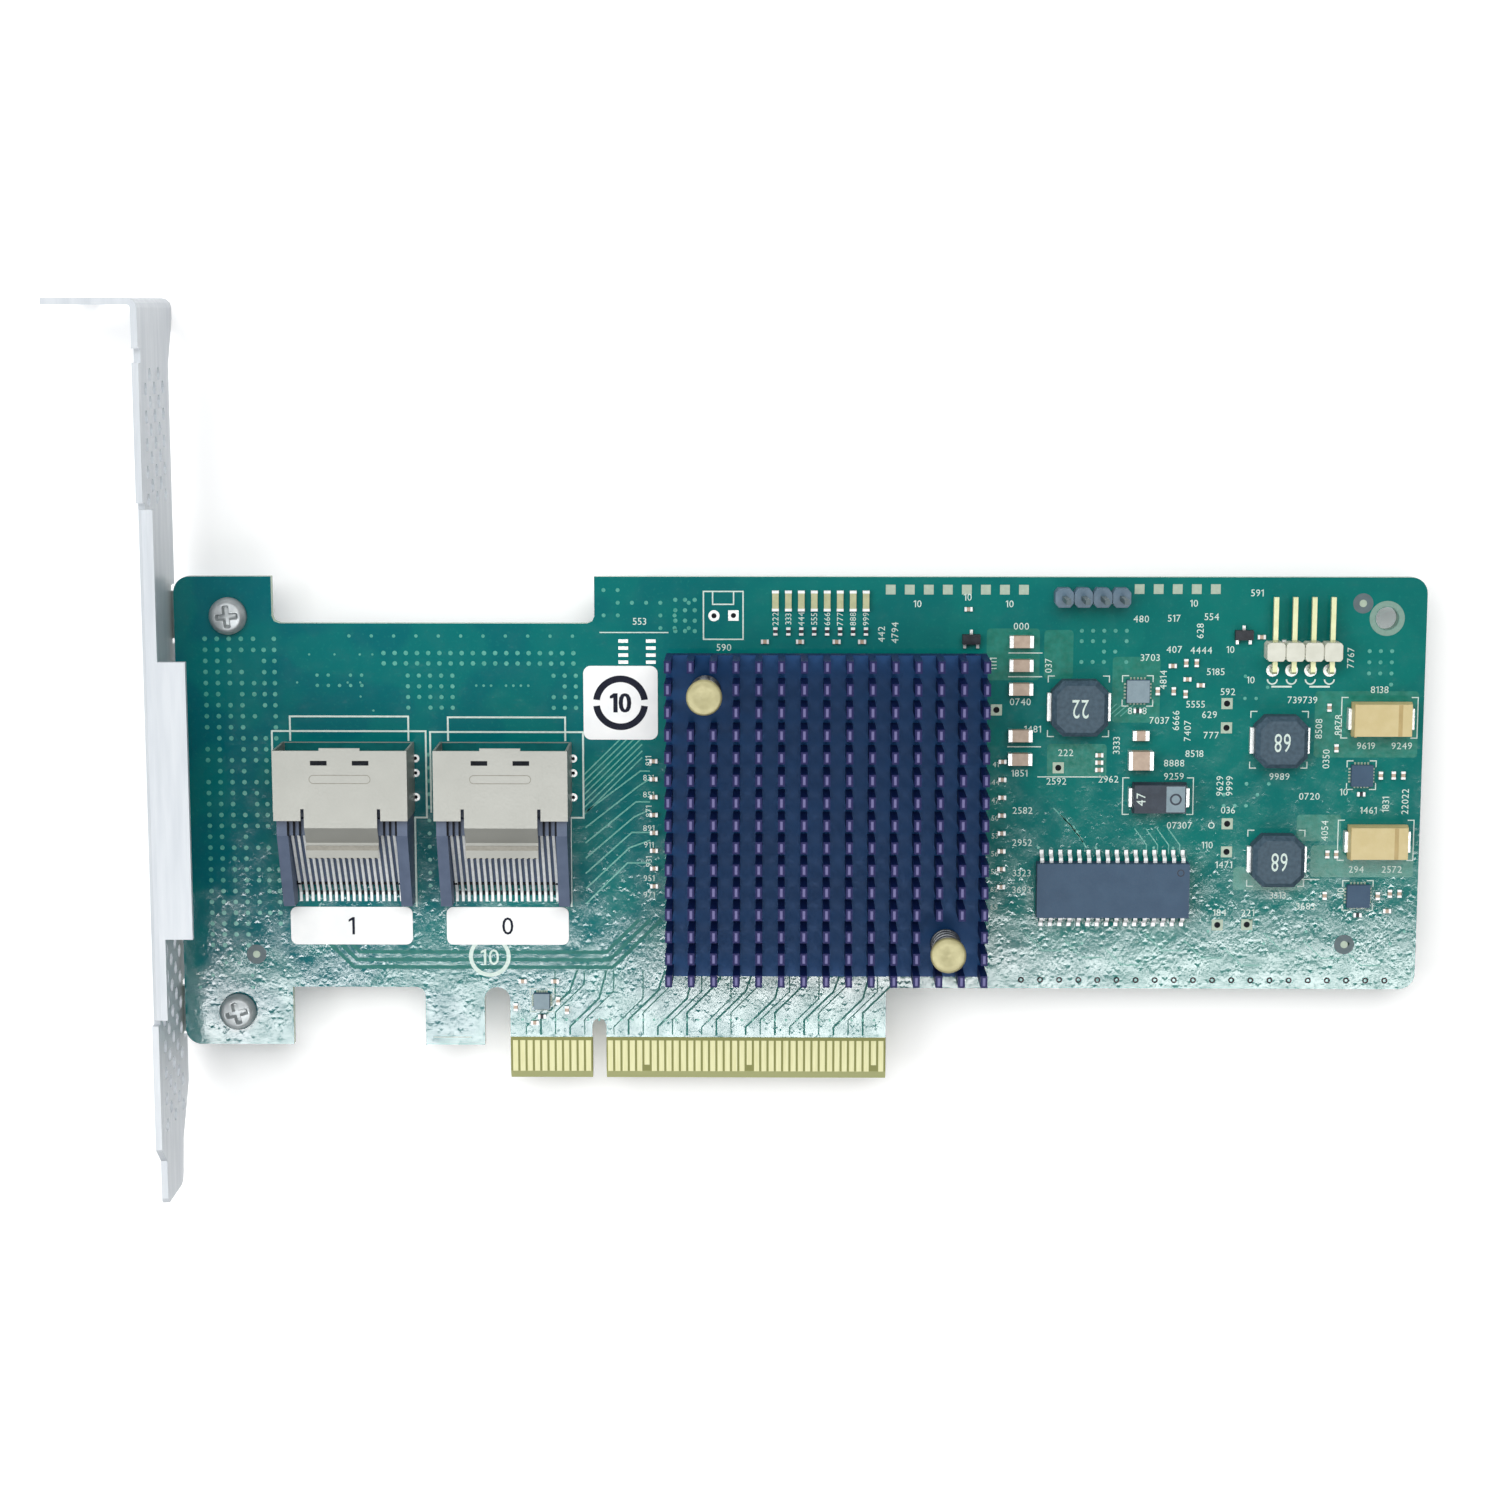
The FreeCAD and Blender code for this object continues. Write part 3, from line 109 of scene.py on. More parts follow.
# ---- meshes --------------------------------------------------------------------------------------
def spread(x, y, z):
    """Points whose coordinates are three arrays or numbers, spread over one common grid."""
    return np.stack(np.broadcast_arrays(x, y, z), -1)


def circle(x, y, radius, sides=16):
    """(x + r cos a, y + r sin a), anticlockwise."""
    a = np.linspace(0, TURN, sides, endpoint=False)
    return np.column_stack([x + radius * np.cos(a), y + radius * np.sin(a)])


def rounded(x, y, width, height, radius, steps=6):
    """A rectangle with round corners, anticlockwise: a quarter circle about each of four centres,
    which lie one radius inside the corners."""
    corner = np.array([(1, 1), (-1, 1), (-1, -1), (1, -1)])[:, None]
    centre = np.array([x, y]) + corner * (np.array([width, height]) / 2 - radius)
    a = np.radians(np.array([0, 90, 180, 270])[:, None] + np.linspace(0, 90, steps + 1))
    return (centre + radius * np.stack([np.cos(a), np.sin(a)], -1)).reshape(-1, 2)


class Shape:
    """Points in millimetres and faces between them, gathered into one piece."""

    def __init__(self):
        self.points, self.faces, self.count = [], [], 0

    def add(self, points, *groups):
        """Points on a grid of any shape, and groups of faces, each an array that has one row of point
        numbers for each face."""
        for faces in groups:
            self.faces += (np.asarray(faces, int) + self.count).tolist()
        self.points.append(np.reshape(points, (-1, 3)))
        self.count += len(self.points[-1])

    def tube(self, rings, ends=False):
        """A surface through an array of rings of points, each ring joined round and to the next; ends
        closes the first and the last ring with a face each."""
        index = np.arange(rings.shape[0] * rings.shape[1]).reshape(rings.shape[:2])
        far = np.roll(index, -1, 1)
        faces = np.stack([index[:-1], far[:-1], far[1:], index[1:]], -1).reshape(-1, 4)
        self.add(rings, faces, index[[0, -1]] if ends else index[:0])

    def turned(self, x, y, profile, sides=48):
        """A surface of revolution about a line along Z: (x + r cos a, y + r sin a, z) for each (r, z)
        of the profile and each angle a."""
        a = np.linspace(0, TURN, sides, endpoint=False)
        r, z = np.array(profile, float).T[..., None]
        self.tube(spread(x + r * np.cos(a), y + r * np.sin(a), z))

    def prism(self, outline, z0, z1):
        """A solid between two heights: an outline of (x, y) points that runs anticlockwise, carried
        straight up, with a face below and above."""
        x, y = np.asarray(outline, float).T
        n, i = len(x), np.arange(len(x))
        j = np.roll(i, -1)
        self.add(spread(x, y, [[z0], [z1]]), np.column_stack([i, j, n + j, n + i]), [i[::-1], n + i])

    def lay(self, outline, faces, z):
        """Flat faces at height z, given anticlockwise, turned to look out of the nearer board face."""
        x, y = np.asarray(outline, float).T
        self.add(spread(x, y, z), np.asarray(faces)[:, ::1 if z > 0 else -1])

    def flat(self, outline, z):
        """One face at height z inside an outline of (x, y) points that runs anticlockwise."""
        self.lay(outline, [range(len(outline))], z)

    def disc(self, x, y, radius, z, sides=16):
        """A flat face inside a circle."""
        self.flat(circle(x, y, radius, sides), z)

    def ring(self, x, y, inner, outer, z, sides=32, turn=(0, 1)):
        """A flat ring, or the part of it between two shares of a full turn: (x + r cos a, y + r sin a)
        for each angle a and both radii r."""
        a, r = TURN * np.linspace(*turn, sides + 1)[:, None], np.array([inner, outer])
        i = 2 * np.arange(sides)
        self.lay(np.stack([x + r * np.cos(a), y + r * np.sin(a)], -1).reshape(-1, 2),
                 np.column_stack([i, i + 1, i + 3, i + 2]), z)

    def stroke(self, path, width, z):
        """A flat ribbon of the given width along a path of (x, y) points, mitred at its corners and
        square at its ends. At a corner between directions a and b its edges lie off the path by the
        left-hand normal of a + b, times width over 2 (1 + a . b)."""
        line = np.array(path, float)
        legs = np.diff(line, axis=0)
        legs /= np.linalg.norm(legs, axis=1)[:, None]
        closed = np.allclose(line[0], line[-1])
        if not closed:
            line[0] -= legs[0] * width / 2
            line[-1] += legs[-1] * width / 2
        before = np.vstack([legs[-1] if closed else legs[0], legs])
        after = np.vstack([legs, legs[0] if closed else legs[-1]])
        mean = (before + after) * (width / 2 / (1 + (before * after).sum(1)))[:, None]
        off = np.stack([-mean[:, 1], mean[:, 0]], 1)
        n, i = len(line), np.arange(len(line) - 1)
        self.lay(np.vstack([line - off, line + off]), np.column_stack([i, i + 1, n + i + 1, n + i]), z)

    def frame(self, x0, y0, x1, y1, width, z):
        """A ribbon round a rectangle."""
        self.stroke([(x0, y0), (x1, y0), (x1, y1), (x0, y1), (x0, y0)], width, z)

    def box(self, low, high):
        """A prism between two opposite corners."""
        self.prism([(low[0], low[1]), (high[0], low[1]), (high[0], high[1]), (low[0], high[1])],
                   low[2], high[2])

    def block(self, x, y, z0, size):
        """A box of the given size, centred on x and y, standing on z0."""
        u, v, up = size
        self.box((x - u / 2, y - v / 2, z0), (x + u / 2, y + v / 2, z0 + up))

    def end_caps(self, low, high, share=0.26, wrap=0.03):
        """Plating round both ends of a chip part that fills a box; share of its length each."""
        along = 0 if high[0] - low[0] > high[1] - low[1] else 1
        for end in (0, 1):
            a, b = np.array(low) - wrap, np.array(high) + wrap
            a[2], b[2] = (low[2], b[2]) if high[2] > 0 else (a[2], high[2])
            long = (high[along] - low[along]) * share
            if end:
                a[along] = high[along] - long
            else:
                b[along] = low[along] + long
            self.box(a, b)


def piece(name, shape, finish, smooth=False, bevel=0, replaces=(), closed=False):
    """One object of the gathered points, with its finish and what it stands for.
    On closed shapes the points that meet are joined and the faces turned outwards."""
    mesh = bpy.data.meshes.new(name)
    mesh.from_pydata((np.vstack(shape.points) * MM).tolist(), [], shape.faces)
    mesh.update()
    if closed:
        skin = bmesh.new()
        skin.from_mesh(mesh)
        bmesh.ops.remove_doubles(skin, verts=skin.verts, dist=1e-7)
        bmesh.ops.recalc_face_normals(skin, faces=skin.faces)
        skin.to_mesh(mesh)
        skin.free()
    mesh.materials.append(finish)
    if smooth:
        mesh.shade_smooth()
    made = bpy.data.objects.new(name, mesh)
    bpy.context.scene.collection.objects.link(made)
    if bevel:
        rounding = made.modifiers.new("edges", "BEVEL")
        rounding.width, rounding.segments, rounding.limit_method = bevel * MM, 2, "ANGLE"
    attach(made, "root")
    if replaces:
        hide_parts(*replaces)
    return made


glyphs = {}
ONE_FLAG = [(-0.2, 0.72, 0), (0.02, 0.84, 0), (0.02, 1, 0), (-0.2, 0.86, 0)]


def glyph(digit):
    """A digit one unit high: its points, its groups of faces and its width. It comes from Blender's
    own font, and the 1 gets its flag as one more face."""
    if digit not in glyphs:
        curve = bpy.data.curves.new("digit", "FONT")
        curve.body, curve.resolution_u = digit, 3
        holder = bpy.data.objects.new("digit", curve)
        mesh = bpy.data.meshes.new_from_object(holder)
        points = np.empty(3 * len(mesh.vertices), np.float32)
        mesh.vertices.foreach_get("co", points)
        points = points.reshape(-1, 3).astype(float)
        low, high = points.min(0), points.max(0)
        points = (points - [low[0], low[1], 0]) / (high[1] - low[1])
        groups = [[tuple(p.vertices) for p in mesh.polygons if p.area > 1e-5]]
        if digit == "1":
            groups.append(len(points) + np.arange(len(ONE_FLAG))[None])
            points = np.vstack([points, ONE_FLAG])
            points[:, 0] -= ONE_FLAG[0][0]
        glyphs[digit] = (points, groups, points[:, 0].max())
        bpy.data.objects.remove(holder)
        bpy.data.curves.remove(curve)
        bpy.data.meshes.remove(mesh)
    return glyphs[digit]


def number(shape, text, x, y, height, z, turn=0, narrow=1.0, bold=0.0):
    """Plain digits centred on x and y, lying at height z: (u, v) in the row of digits goes to
    (x + u cos a - v sin a, y + u sin a + v cos a). Bold draws them again a little to the side."""
    if bold:
        for shift in (-1, 1):
            number(shape, text, x + shift * bold, y, height, z + 0.001 * shift, turn, narrow)
    gap = 0.16
    parts = [glyph(d) for d in text]
    along = -(sum(width for _, _, width in parts) + gap * (len(parts) - 1)) / 2
    cos, sin = math.cos(math.radians(turn)), math.sin(math.radians(turn))
    for points, groups, width in parts:
        u = (points[:, 0] + along) * height * narrow
        v = (points[:, 1] - 0.5) * height
        shape.add(spread(x + u * cos - v * sin, y + u * sin + v * cos, z), *groups)
        along += width + gap


# ---- finishes ------------------------------------------------------------------------------------
def linear(colour):
    """A #rrggbb colour as the linear RGBA that a shader takes."""
    parts = [int(colour[i:i + 2], 16) / 255 for i in (1, 3, 5)]
    return [c / 12.92 if c <= 0.04045 else ((c + 0.055) / 1.055) ** 2.4 for c in parts] + [1.0]


def fill(tree, sockets, **values):
    """Sets or links inputs, by name with _ for a space, or by number after a _."""
    for name, value in values.items():
        socket = sockets[int(name[1:]) if name[0] == "_" else name.replace("_", " ")]
        if isinstance(value, bpy.types.NodeSocket):
            tree.links.new(value, socket)
        else:
            socket.default_value = value


def node(tree, kind, out=0, **values):
    """Adds a node and gives one of its outputs. Names in lower case are the node's own settings, and
    the others its inputs."""
    made = tree.nodes.new("ShaderNode" + kind)
    for name in [n for n in values if n.islower()]:
        setattr(made, name, values.pop(name))
    fill(tree, made.inputs, **values)
    return made.outputs[out]


def blank(name):
    """A material with only a Principled shader, with its node tree and that shader's inputs."""
    made = bpy.data.materials.new(name)
    made.use_nodes = True
    return made, made.node_tree, made.node_tree.nodes["Principled BSDF"].inputs


def per_metre(size, stretch=(1, 1, 1)):
    """How often a pattern of that many millimetres comes in a metre, along each axis."""
    return [1 / (size * MM * s) for s in stretch]


def surface(name, colour, second, rough=(0.35, 0.5), metal=0.0, size=2.0, stretch=(1, 1, 1),
            relief=0.02, grain=0.3, specular=0.5):
    """A finish whose colour wanders between two tones over size millimetres, with a fine grain in
    its roughness and its relief (millimetres deep, grain millimetres across)."""
    made, tree, shader = blank(name)
    where = node(tree, "TexCoord", "Object")
    patches, fine = (node(tree, "TexNoise", Scale=1.0, Detail=detail, Vector=node(
        tree, "Mapping", Vector=where, Scale=per_metre(width, stretch)))
        for width, detail in ((size, 3.0), (grain, 2.0)))
    fill(tree, shader, Metallic=metal, Specular_IOR_Level=specular,
         Base_Color=node(tree, "Mix", 2, data_type="RGBA", _6=linear(colour), _7=linear(second),
                         _0=node(tree, "MapRange", Value=patches, From_Min=0.35, From_Max=0.65)),
         Roughness=node(tree, "MapRange", Value=fine, From_Min=0.3, From_Max=0.7, To_Min=rough[0],
                        To_Max=rough[1]),
         Normal=node(tree, "Bump", Strength=0.6, Distance=relief * MM, Height=fine))
    return made


def solder_mask():
    """Solder mask: green epoxy lacquer, flooded over etched copper and cured. It gives a wet gloss
    that the copper beneath makes uneven, in teal at the bracket end and greener at the free end. Cut
    edges and the contact tongue show bare glass-epoxy laminate, pale and matt, and paler yet on its
    bevel. The copper's lines are really 0.2 mm apart, and drawn 0.5 to 1.1 mm apart to show."""
    made, tree, shader = blank("solder_mask_green")
    where = node(tree, "TexCoord", "Object")
    x, y, _ = node(tree, "SeparateXYZ", Vector=where).node.outputs
    planes, speck, fine, swell, haze = (node(tree, "TexNoise", Scale=1.0, Detail=detail, Vector=node(
        tree, "Mapping", Vector=where, Scale=per_metre(size, stretch))) for size, detail, stretch in (
            (9.0, 1.0, (1, 1, 1)),             # copper planes under the lacquer
            (0.5, 2.0, (1, 1, 1)),             # specks in its colour
            (0.5, 3.0, (0.8, 1.5, 1)),         # its grain
            (4.0, 1.0, (1, 1, 1)),             # its slow swell
            (2.5, 3.0, (1, 1, 1))))            # haze in its gloss
    tone = node(tree, "Mix", 2, data_type="RGBA", _6=linear("#03636b"), _7=linear("#0a6e69"),
                _0=node(tree, "MapRange", Value=x, From_Min=-0.055, From_Max=0.075))
    tone = node(tree, "Mix", 2, data_type="RGBA", _6=tone, _7=linear("#0f7d72"),
                _0=node(tree, "MapRange", Value=planes, From_Min=0.46, From_Max=0.54, To_Max=0.3))
    tone = node(tree, "Mix", 2, data_type="RGBA", _6=tone, _7=linear("#2b8f80"),
                _0=node(tree, "MapRange", Value=speck, From_Min=0.58, From_Max=0.8, To_Max=0.25))
    facing = node(tree, "Math", operation="ABSOLUTE", _0=node(
        tree, "SeparateXYZ", "Z", Vector=node(tree, "NewGeometry", "Normal")))
    tone = node(tree, "Mix", 2, data_type="RGBA", _6=linear("#8fae8a"), _7=tone,
                _0=node(tree, "MapRange", Value=facing, From_Min=0.3, From_Max=0.6))
    lacquered = node(tree, "Math", operation="MAXIMUM",
                     _0=node(tree, "MapRange", Value=y, From_Min=CONTACT_TOP * MM,
                             From_Max=(CONTACT_TOP + 0.05) * MM),
                     _1=node(tree, "MapRange", Value=x, From_Min=-0.0126, From_Max=-0.0125,
                             To_Min=1.0, To_Max=0.0))
    laminate = node(tree, "Mix", 2, data_type="RGBA", _6=linear("#a9ac78"), _7=linear("#85874d"),
                    _0=node(tree, "MapRange", Value=y, From_Min=0.0009, From_Max=0.0011))
    tone = node(tree, "Mix", 2, data_type="RGBA", _0=lacquered, _6=laminate, _7=tone)
    cells = node(tree, "TexVoronoi", distance="MANHATTAN", Scale=1 / (1.1 * MM),
                 Vector=node(tree, "Mapping", Vector=where, Scale=(1, 1, 0)))
    copper = node(tree, "Math", operation="ADD", _0=fine,
                  _1=node(tree, "MapRange", Value=cells, From_Min=0.2, From_Max=0.5, To_Max=0.5))
    height = node(tree, "Math", operation="MULTIPLY_ADD", _0=swell, _1=2.5, _2=copper)
    rough = node(tree, "Math", operation="MAXIMUM",
                 _0=node(tree, "MapRange", Value=haze, From_Min=0.35, From_Max=0.65, To_Min=0.07,
                         To_Max=0.15),
                 _1=node(tree, "MapRange", Value=lacquered, To_Min=0.7, To_Max=0.0))
    fill(tree, shader, Base_Color=tone, Roughness=rough, Specular_IOR_Level=0.32,
         Normal=node(tree, "Bump", Strength=1.0, Distance=0.013 * MM, Height=height))
    return made


def plated_steel():
    """Zinc-plated steel sheet, brushed along its length. Its metalness is split by facing as painted
    light
    and shade: higher on its walls, which read bright, and lower where it faces up, which reads duller.
    The brush lines are really 0.05 mm apart, and drawn 0.25 mm apart to show."""
    made = surface("bracket_steel", "#d0d5da", "#c5cbd1", (0.34, 0.46), size=1.2, stretch=(1, 12, 1),
                   relief=0.004, grain=0.25, specular=0.3)
    tree = made.node_tree
    up = node(tree, "SeparateXYZ", "Z", Vector=node(tree, "NewGeometry", "Normal"))
    # painted light and shade: metalness 0.3 on the walls and 0.02 on up-facing faces, to brighten the
    # walls and dull the top
    fill(tree, tree.nodes["Principled BSDF"].inputs, Metallic=node(
        tree, "MapRange", Value=up, From_Min=0.5, From_Max=0.9, To_Min=0.3, To_Max=0.02))
    return made


def anodised():
    """Anodised aluminium, extruded, sawn across into fins and dyed navy: sides darkened with painted
    shade, a bluer floor between the fins, and a painted highlight, a paler dash, in the middle of each
    tip. The grain of the etched skin is really 0.05 mm, and drawn 0.25 mm across to show."""
    made, tree, shader = blank("anodised_navy")
    where = node(tree, "TexCoord", "Object")
    axes = node(tree, "SeparateXYZ", Vector=where).node.outputs
    patches, fine = (node(tree, "TexNoise", Scale=1.0, Detail=detail, Vector=node(
        tree, "Mapping", Vector=where, Scale=per_metre(size)))
        for size, detail in ((5, 3.0), (0.25, 2.0)))
    up = node(tree, "MapRange", From_Min=0.4, From_Max=0.8, Value=node(
        tree, "SeparateXYZ", "Z", Vector=node(tree, "NewGeometry", "Normal")))
    floor = node(tree, "Mix", 2, data_type="RGBA", _6=linear("#153e6c"), _7=linear("#1a4778"),
                 _0=node(tree, "MapRange", Value=patches, From_Min=0.3, From_Max=0.7))
    low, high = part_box("heatsink")
    tip = node(tree, "Math", operation="MULTIPLY", _1=up, _0=node(
        tree, "MapRange", Value=axes["Z"], From_Min=high.z - 0.3 * MM, From_Max=high.z - 0.1 * MM))
    # painted shade: faces that don't face up are a darker navy, for the shadow between the fins
    tone = node(tree, "Mix", 2, data_type="RGBA", _0=up, _6=linear("#122054"), _7=floor)
    tone = node(tree, "Mix", 2, data_type="RGBA", _0=tip, _6=tone, _7=linear("#17194c"))
    # painted highlight: a paler dash in the middle of each fin tip, where light catches it
    painted_glint = tip
    for axis, start, pitch, fin, reach in (("X", low.x, 2.98, 0.9, 0.12),
                                           ("Y", low.y, 2.99, 1.6, 0.5)):
        in_row = node(tree, "Math", operation="SUBTRACT", _0=axes[axis], _1=start + fin / 2 * MM)
        off = node(tree, "Math", operation="PINGPONG", _0=in_row, _1=pitch / 2 * MM)
        painted_glint = node(tree, "Math", operation="MULTIPLY", _0=painted_glint, _1=node(
            tree, "MapRange", Value=off, From_Min=reach * MM, From_Max=(reach + 0.1) * MM, To_Min=1.0,
            To_Max=0.0))
    tone = node(tree, "Mix", 2, data_type="RGBA", _0=painted_glint, _6=tone, _7=linear("#68658f"))
    fill(tree, shader, Base_Color=tone, Metallic=0.1, Specular_IOR_Level=0.12,
         Roughness=node(tree, "MapRange", Value=fine, From_Min=0.3, From_Max=0.7, To_Min=0.38,
                        To_Max=0.52),
         Normal=node(tree, "Bump", Strength=0.5, Distance=0.02 * MM, Height=fine))
    return made


# After the two colours come roughness from and to, metal, how far a tone runs, and what else differs.
# The grain of moulded, plated, printed and lacquered faces is really 0.01 to 0.05 mm across, and
# drawn 0.1 to 0.5 mm across to show.
LOOK = {
    "mask": solder_mask(), "bracket": plated_steel(), "navy": anodised(),
    # hard gold, plated over nickel: pale yellow, streaked along each contact by plugging in
    "gold": surface("contact_gold", "#d8d7a6", "#cfcd98", (0.5, 0.6), 0.08, 1.5, (0.2, 3, 1),
                    0.004, 0.2),
    # stainless steel, stamped: a soft grey sheen
    "shell": surface("shell_steel", "#94958f", "#8f908a", (0.38, 0.5), 0.3, 6.0, relief=0.004),
    # nickel-plated steel, cold-headed: soft grey, satin
    "screw": surface("screw_steel", "#b2b7b8", "#a3a9ab", (0.38, 0.5), 0.45, 0.8, relief=0.01,
                     grain=0.15),
    # gold-flashed bronze, drawn square: a clean pale yellow
    "pin": surface("pin_gold", "#cdd0a6", "#c3c698", (0.3, 0.42), 0.3, 1.5, relief=0.004,
                   grain=0.2),
    # brass, turned and left bare: dull yellow
    "brass": surface("pin_brass", "#a8a277", "#9c966b", (0.4, 0.52), 0.2, 1.0, relief=0.01,
                     grain=0.2),
    # spring steel, drawn: dark and shiny
    "wire": surface("spring_steel", "#8f9296", "#6f7378", (0.25, 0.4), 0.8, 0.6, grain=0.15),
    # tin, plated on stamped leads and chip ends: nearly white, satin
    "lead": surface("lead_tin", "#e9ecec", "#dcdfdf", (0.3, 0.45), 0.1, 0.6, relief=0.01,
                    grain=0.2),
    # solder, melted on and set: light grey, a little uneven in its gloss
    "tin": surface("solder_tin", "#dcdedd", "#c8cccb", (0.25, 0.45), 0.45, 0.6, grain=0.2),
    # silicone filled with white oxide, pressed out thin: flat pale grey
    "compound": surface("thermal_compound", "#dfe0dc", "#cbccc6", (0.6, 0.8), 0.0, 1.0),
    # glass-epoxy laminate, pressed: dull dark green
    "laminate": surface("package_laminate", "#3b4a3a", "#46563f", (0.4, 0.55), 0.0, 1.5),
    # glass-filled nylon, moulded: slate blue and matt
    "slate": surface("port_plastic", "#4f5d75", "#58667e", (0.45, 0.6), 0.0, 2.5, relief=0.015,
                     grain=0.2, specular=0.3),
    # coated paper: flat white
    "paper": surface("label_paper", "#f7f8f7", "#eff1f1", (0.55, 0.7), 0.0, 4.0, relief=0.006,
                     grain=0.25),
    # wax ink, transferred by heat: flat black with a blue tinge
    "ink": surface("label_ink", "#161927", "#1c2030", (0.6, 0.75), 0.0, 1.0, specular=0.1),
    # filled epoxy, moulded in an eroded tool: blue-grey and matt
    "chip": surface("chip_plastic", "#3a526a", "#3f5870", (0.5, 0.66), 0.0, 3.0, grain=0.18,
                    specular=0.2),
    # iron powder pressed with resin: dark, rough and grainy
    "choke": surface("inductor_composite", "#364b59", "#445a69", (0.5, 0.7), 0.0, 0.5, relief=0.05,
                     grain=0.25, specular=0.25),
    # epoxy, moulded and dyed: tan, satin
    "tantalum": surface("tantalum_resin", "#ccbb86", "#c6b47c", (0.42, 0.55), 0.0, 2.0),
    # epoxy, moulded: near-black, satin
    "case": surface("polymer_case", "#2b3440", "#353f4c", (0.45, 0.6), 0.0, 1.5, grain=0.2,
                    specular=0.25),
    # titanate ceramic, fired: grey-tan, dense and smooth
    "ceramic": surface("capacitor_ceramic", "#a9927e", "#b7a18c", (0.4, 0.55), 0.0, 0.8,
                       relief=0.01, grain=0.2),
    # clear epoxy cast over a pale green die: milky and glossy
    "led": surface("led_resin", "#b6b88c", "#a9ad80", (0.25, 0.4), 0.0, 0.8),
    # undyed nylon, moulded: cream, satin
    "natural": surface("header_natural", "#d8d9cb", "#cdcebf", (0.4, 0.55), 0.0, 1.5, relief=0.015,
                       grain=0.25),
    # dyed nylon, moulded: blue-grey, satin
    "dark": surface("header_dark", "#506a7c", "#587285", (0.45, 0.6), 0.0, 1.0, relief=0.015,
                    grain=0.2),
    # epoxy ink, screen-printed: matt white, tinged by the lacquer that shows through it
    "silk": surface("silkscreen_ink", "#d6e6de", "#c4d8cf", (0.55, 0.7), 0.0, 0.5, relief=0.004,
                    grain=0.1),
    # lacquer over a copper plane: paler green, and as glossy as the rest
    "pour": surface("pour_green", "#1c7464", "#278173", (0.14, 0.22), 0.0, 1.2, relief=0.004,
                    grain=0.5, specular=0.3),
    # lacquer over close copper tracks: grey-green, its gloss broken by their edges
    "trace": surface("trace_green", "#2a6f68", "#357a72", (0.5, 0.6), 0.0, 1.2, specular=0.12),
    # lacquer over plated vias and single tracks: pale green and glossy
    "via": surface("via_green", "#3f9788", "#55a798", (0.2, 0.3), 0.0, 0.8, specular=0.3),
    # the shade in a drilled hole or a moulded slot: near-black without a shine
    "void": surface("hole_dark", "#16181c", "#202329", (0.6, 0.8), 0.0, 0.5, specular=0.05),
    # copper dipped in tin: dull grey-green
    "bare": surface("bare_pad", "#9fb09d", "#94a694", (0.4, 0.55), 0.1, 0.6, grain=0.2),
    # the same, dimmed by flux round a plated hole
    "ring": surface("pad_ring", "#6f9184", "#68897c", (0.4, 0.55), 0.1, 0.6, grain=0.2),
    # lacquer over laminate that has no copper: dark grey-green, satin
    "mark": surface("mark_dark", "#45595e", "#4d6167", (0.5, 0.65), 0.0, 0.6),
    # painted shade along a shell's pressed line and across its spring tab's groove: a dark satin band
    "line": surface("painted_press_shade", "#77756b", "#706e64", (0.4, 0.5), 0.2, 0.6),
    # epoxy whose skin a laser has lifted: paler and dull
    "pale": surface("moulding_pale", "#7c929c", "#748a94", (0.5, 0.65), 0.0, 1.0),
    # nylon in the shade inside a port's mouth: deep teal, without a shine
    "mouth": surface("mouth_dark", "#0f5d5e", "#126666", (0.6, 0.8), 0.0, 1.0, specular=0.05),
    # glass glaze over a printed film: black, satin
    "resistor": surface("resistor_black", "#23262c", "#2f333a", (0.4, 0.6), 0.0, 0.6, specular=0.2),
    # dyed epoxy, printed: the polarity band, browner than the case under it
    "band": surface("band_brown", "#b39a5c", "#a68d50", (0.4, 0.5)),
}

CAD_LOOK = {
    "circuit_board": "mask", "edge_contacts_front": "gold", "edge_contacts_back": "gold",
    "full_height_bracket": "bracket", "heatsink": "navy", "thermal_pad": "compound",
    "controller_package": "laminate", "controller_ball_field": "tin",
    "port_1_shell": "shell", "port_0_shell": "shell", "port_1_housing": "slate",
    "port_0_housing": "slate", "port_1_leads": "lead", "port_0_leads": "lead",
    "memory_chip": "chip", "memory_chip_leads": "tin", "inductor_bodies": "choke",
    "inductor_terminals": "tin", "tantalum_capacitors": "tantalum", "polymer_capacitor": "case",
    "moulded_capacitor_terminals": "tin", "ceramic_capacitor_bodies": "ceramic",
    "ceramic_capacitor_ends": "tin", "regulator_chips": "chip", "transistors": "resistor",
    "transistor_legs": "tin", "activity_leds": "led", "led_header_body": "natural",
    "led_header_pins": "pin", "service_header_body": "dark", "service_header_pins": "mark",
    "chip_capacitors": "ceramic", "chip_resistors": "resistor", "back_capacitors": "ceramic",
}
for name, look in CAD_LOOK.items():
    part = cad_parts[name]
    part.data.materials.clear()
    part.data.materials.append(LOOK[look])


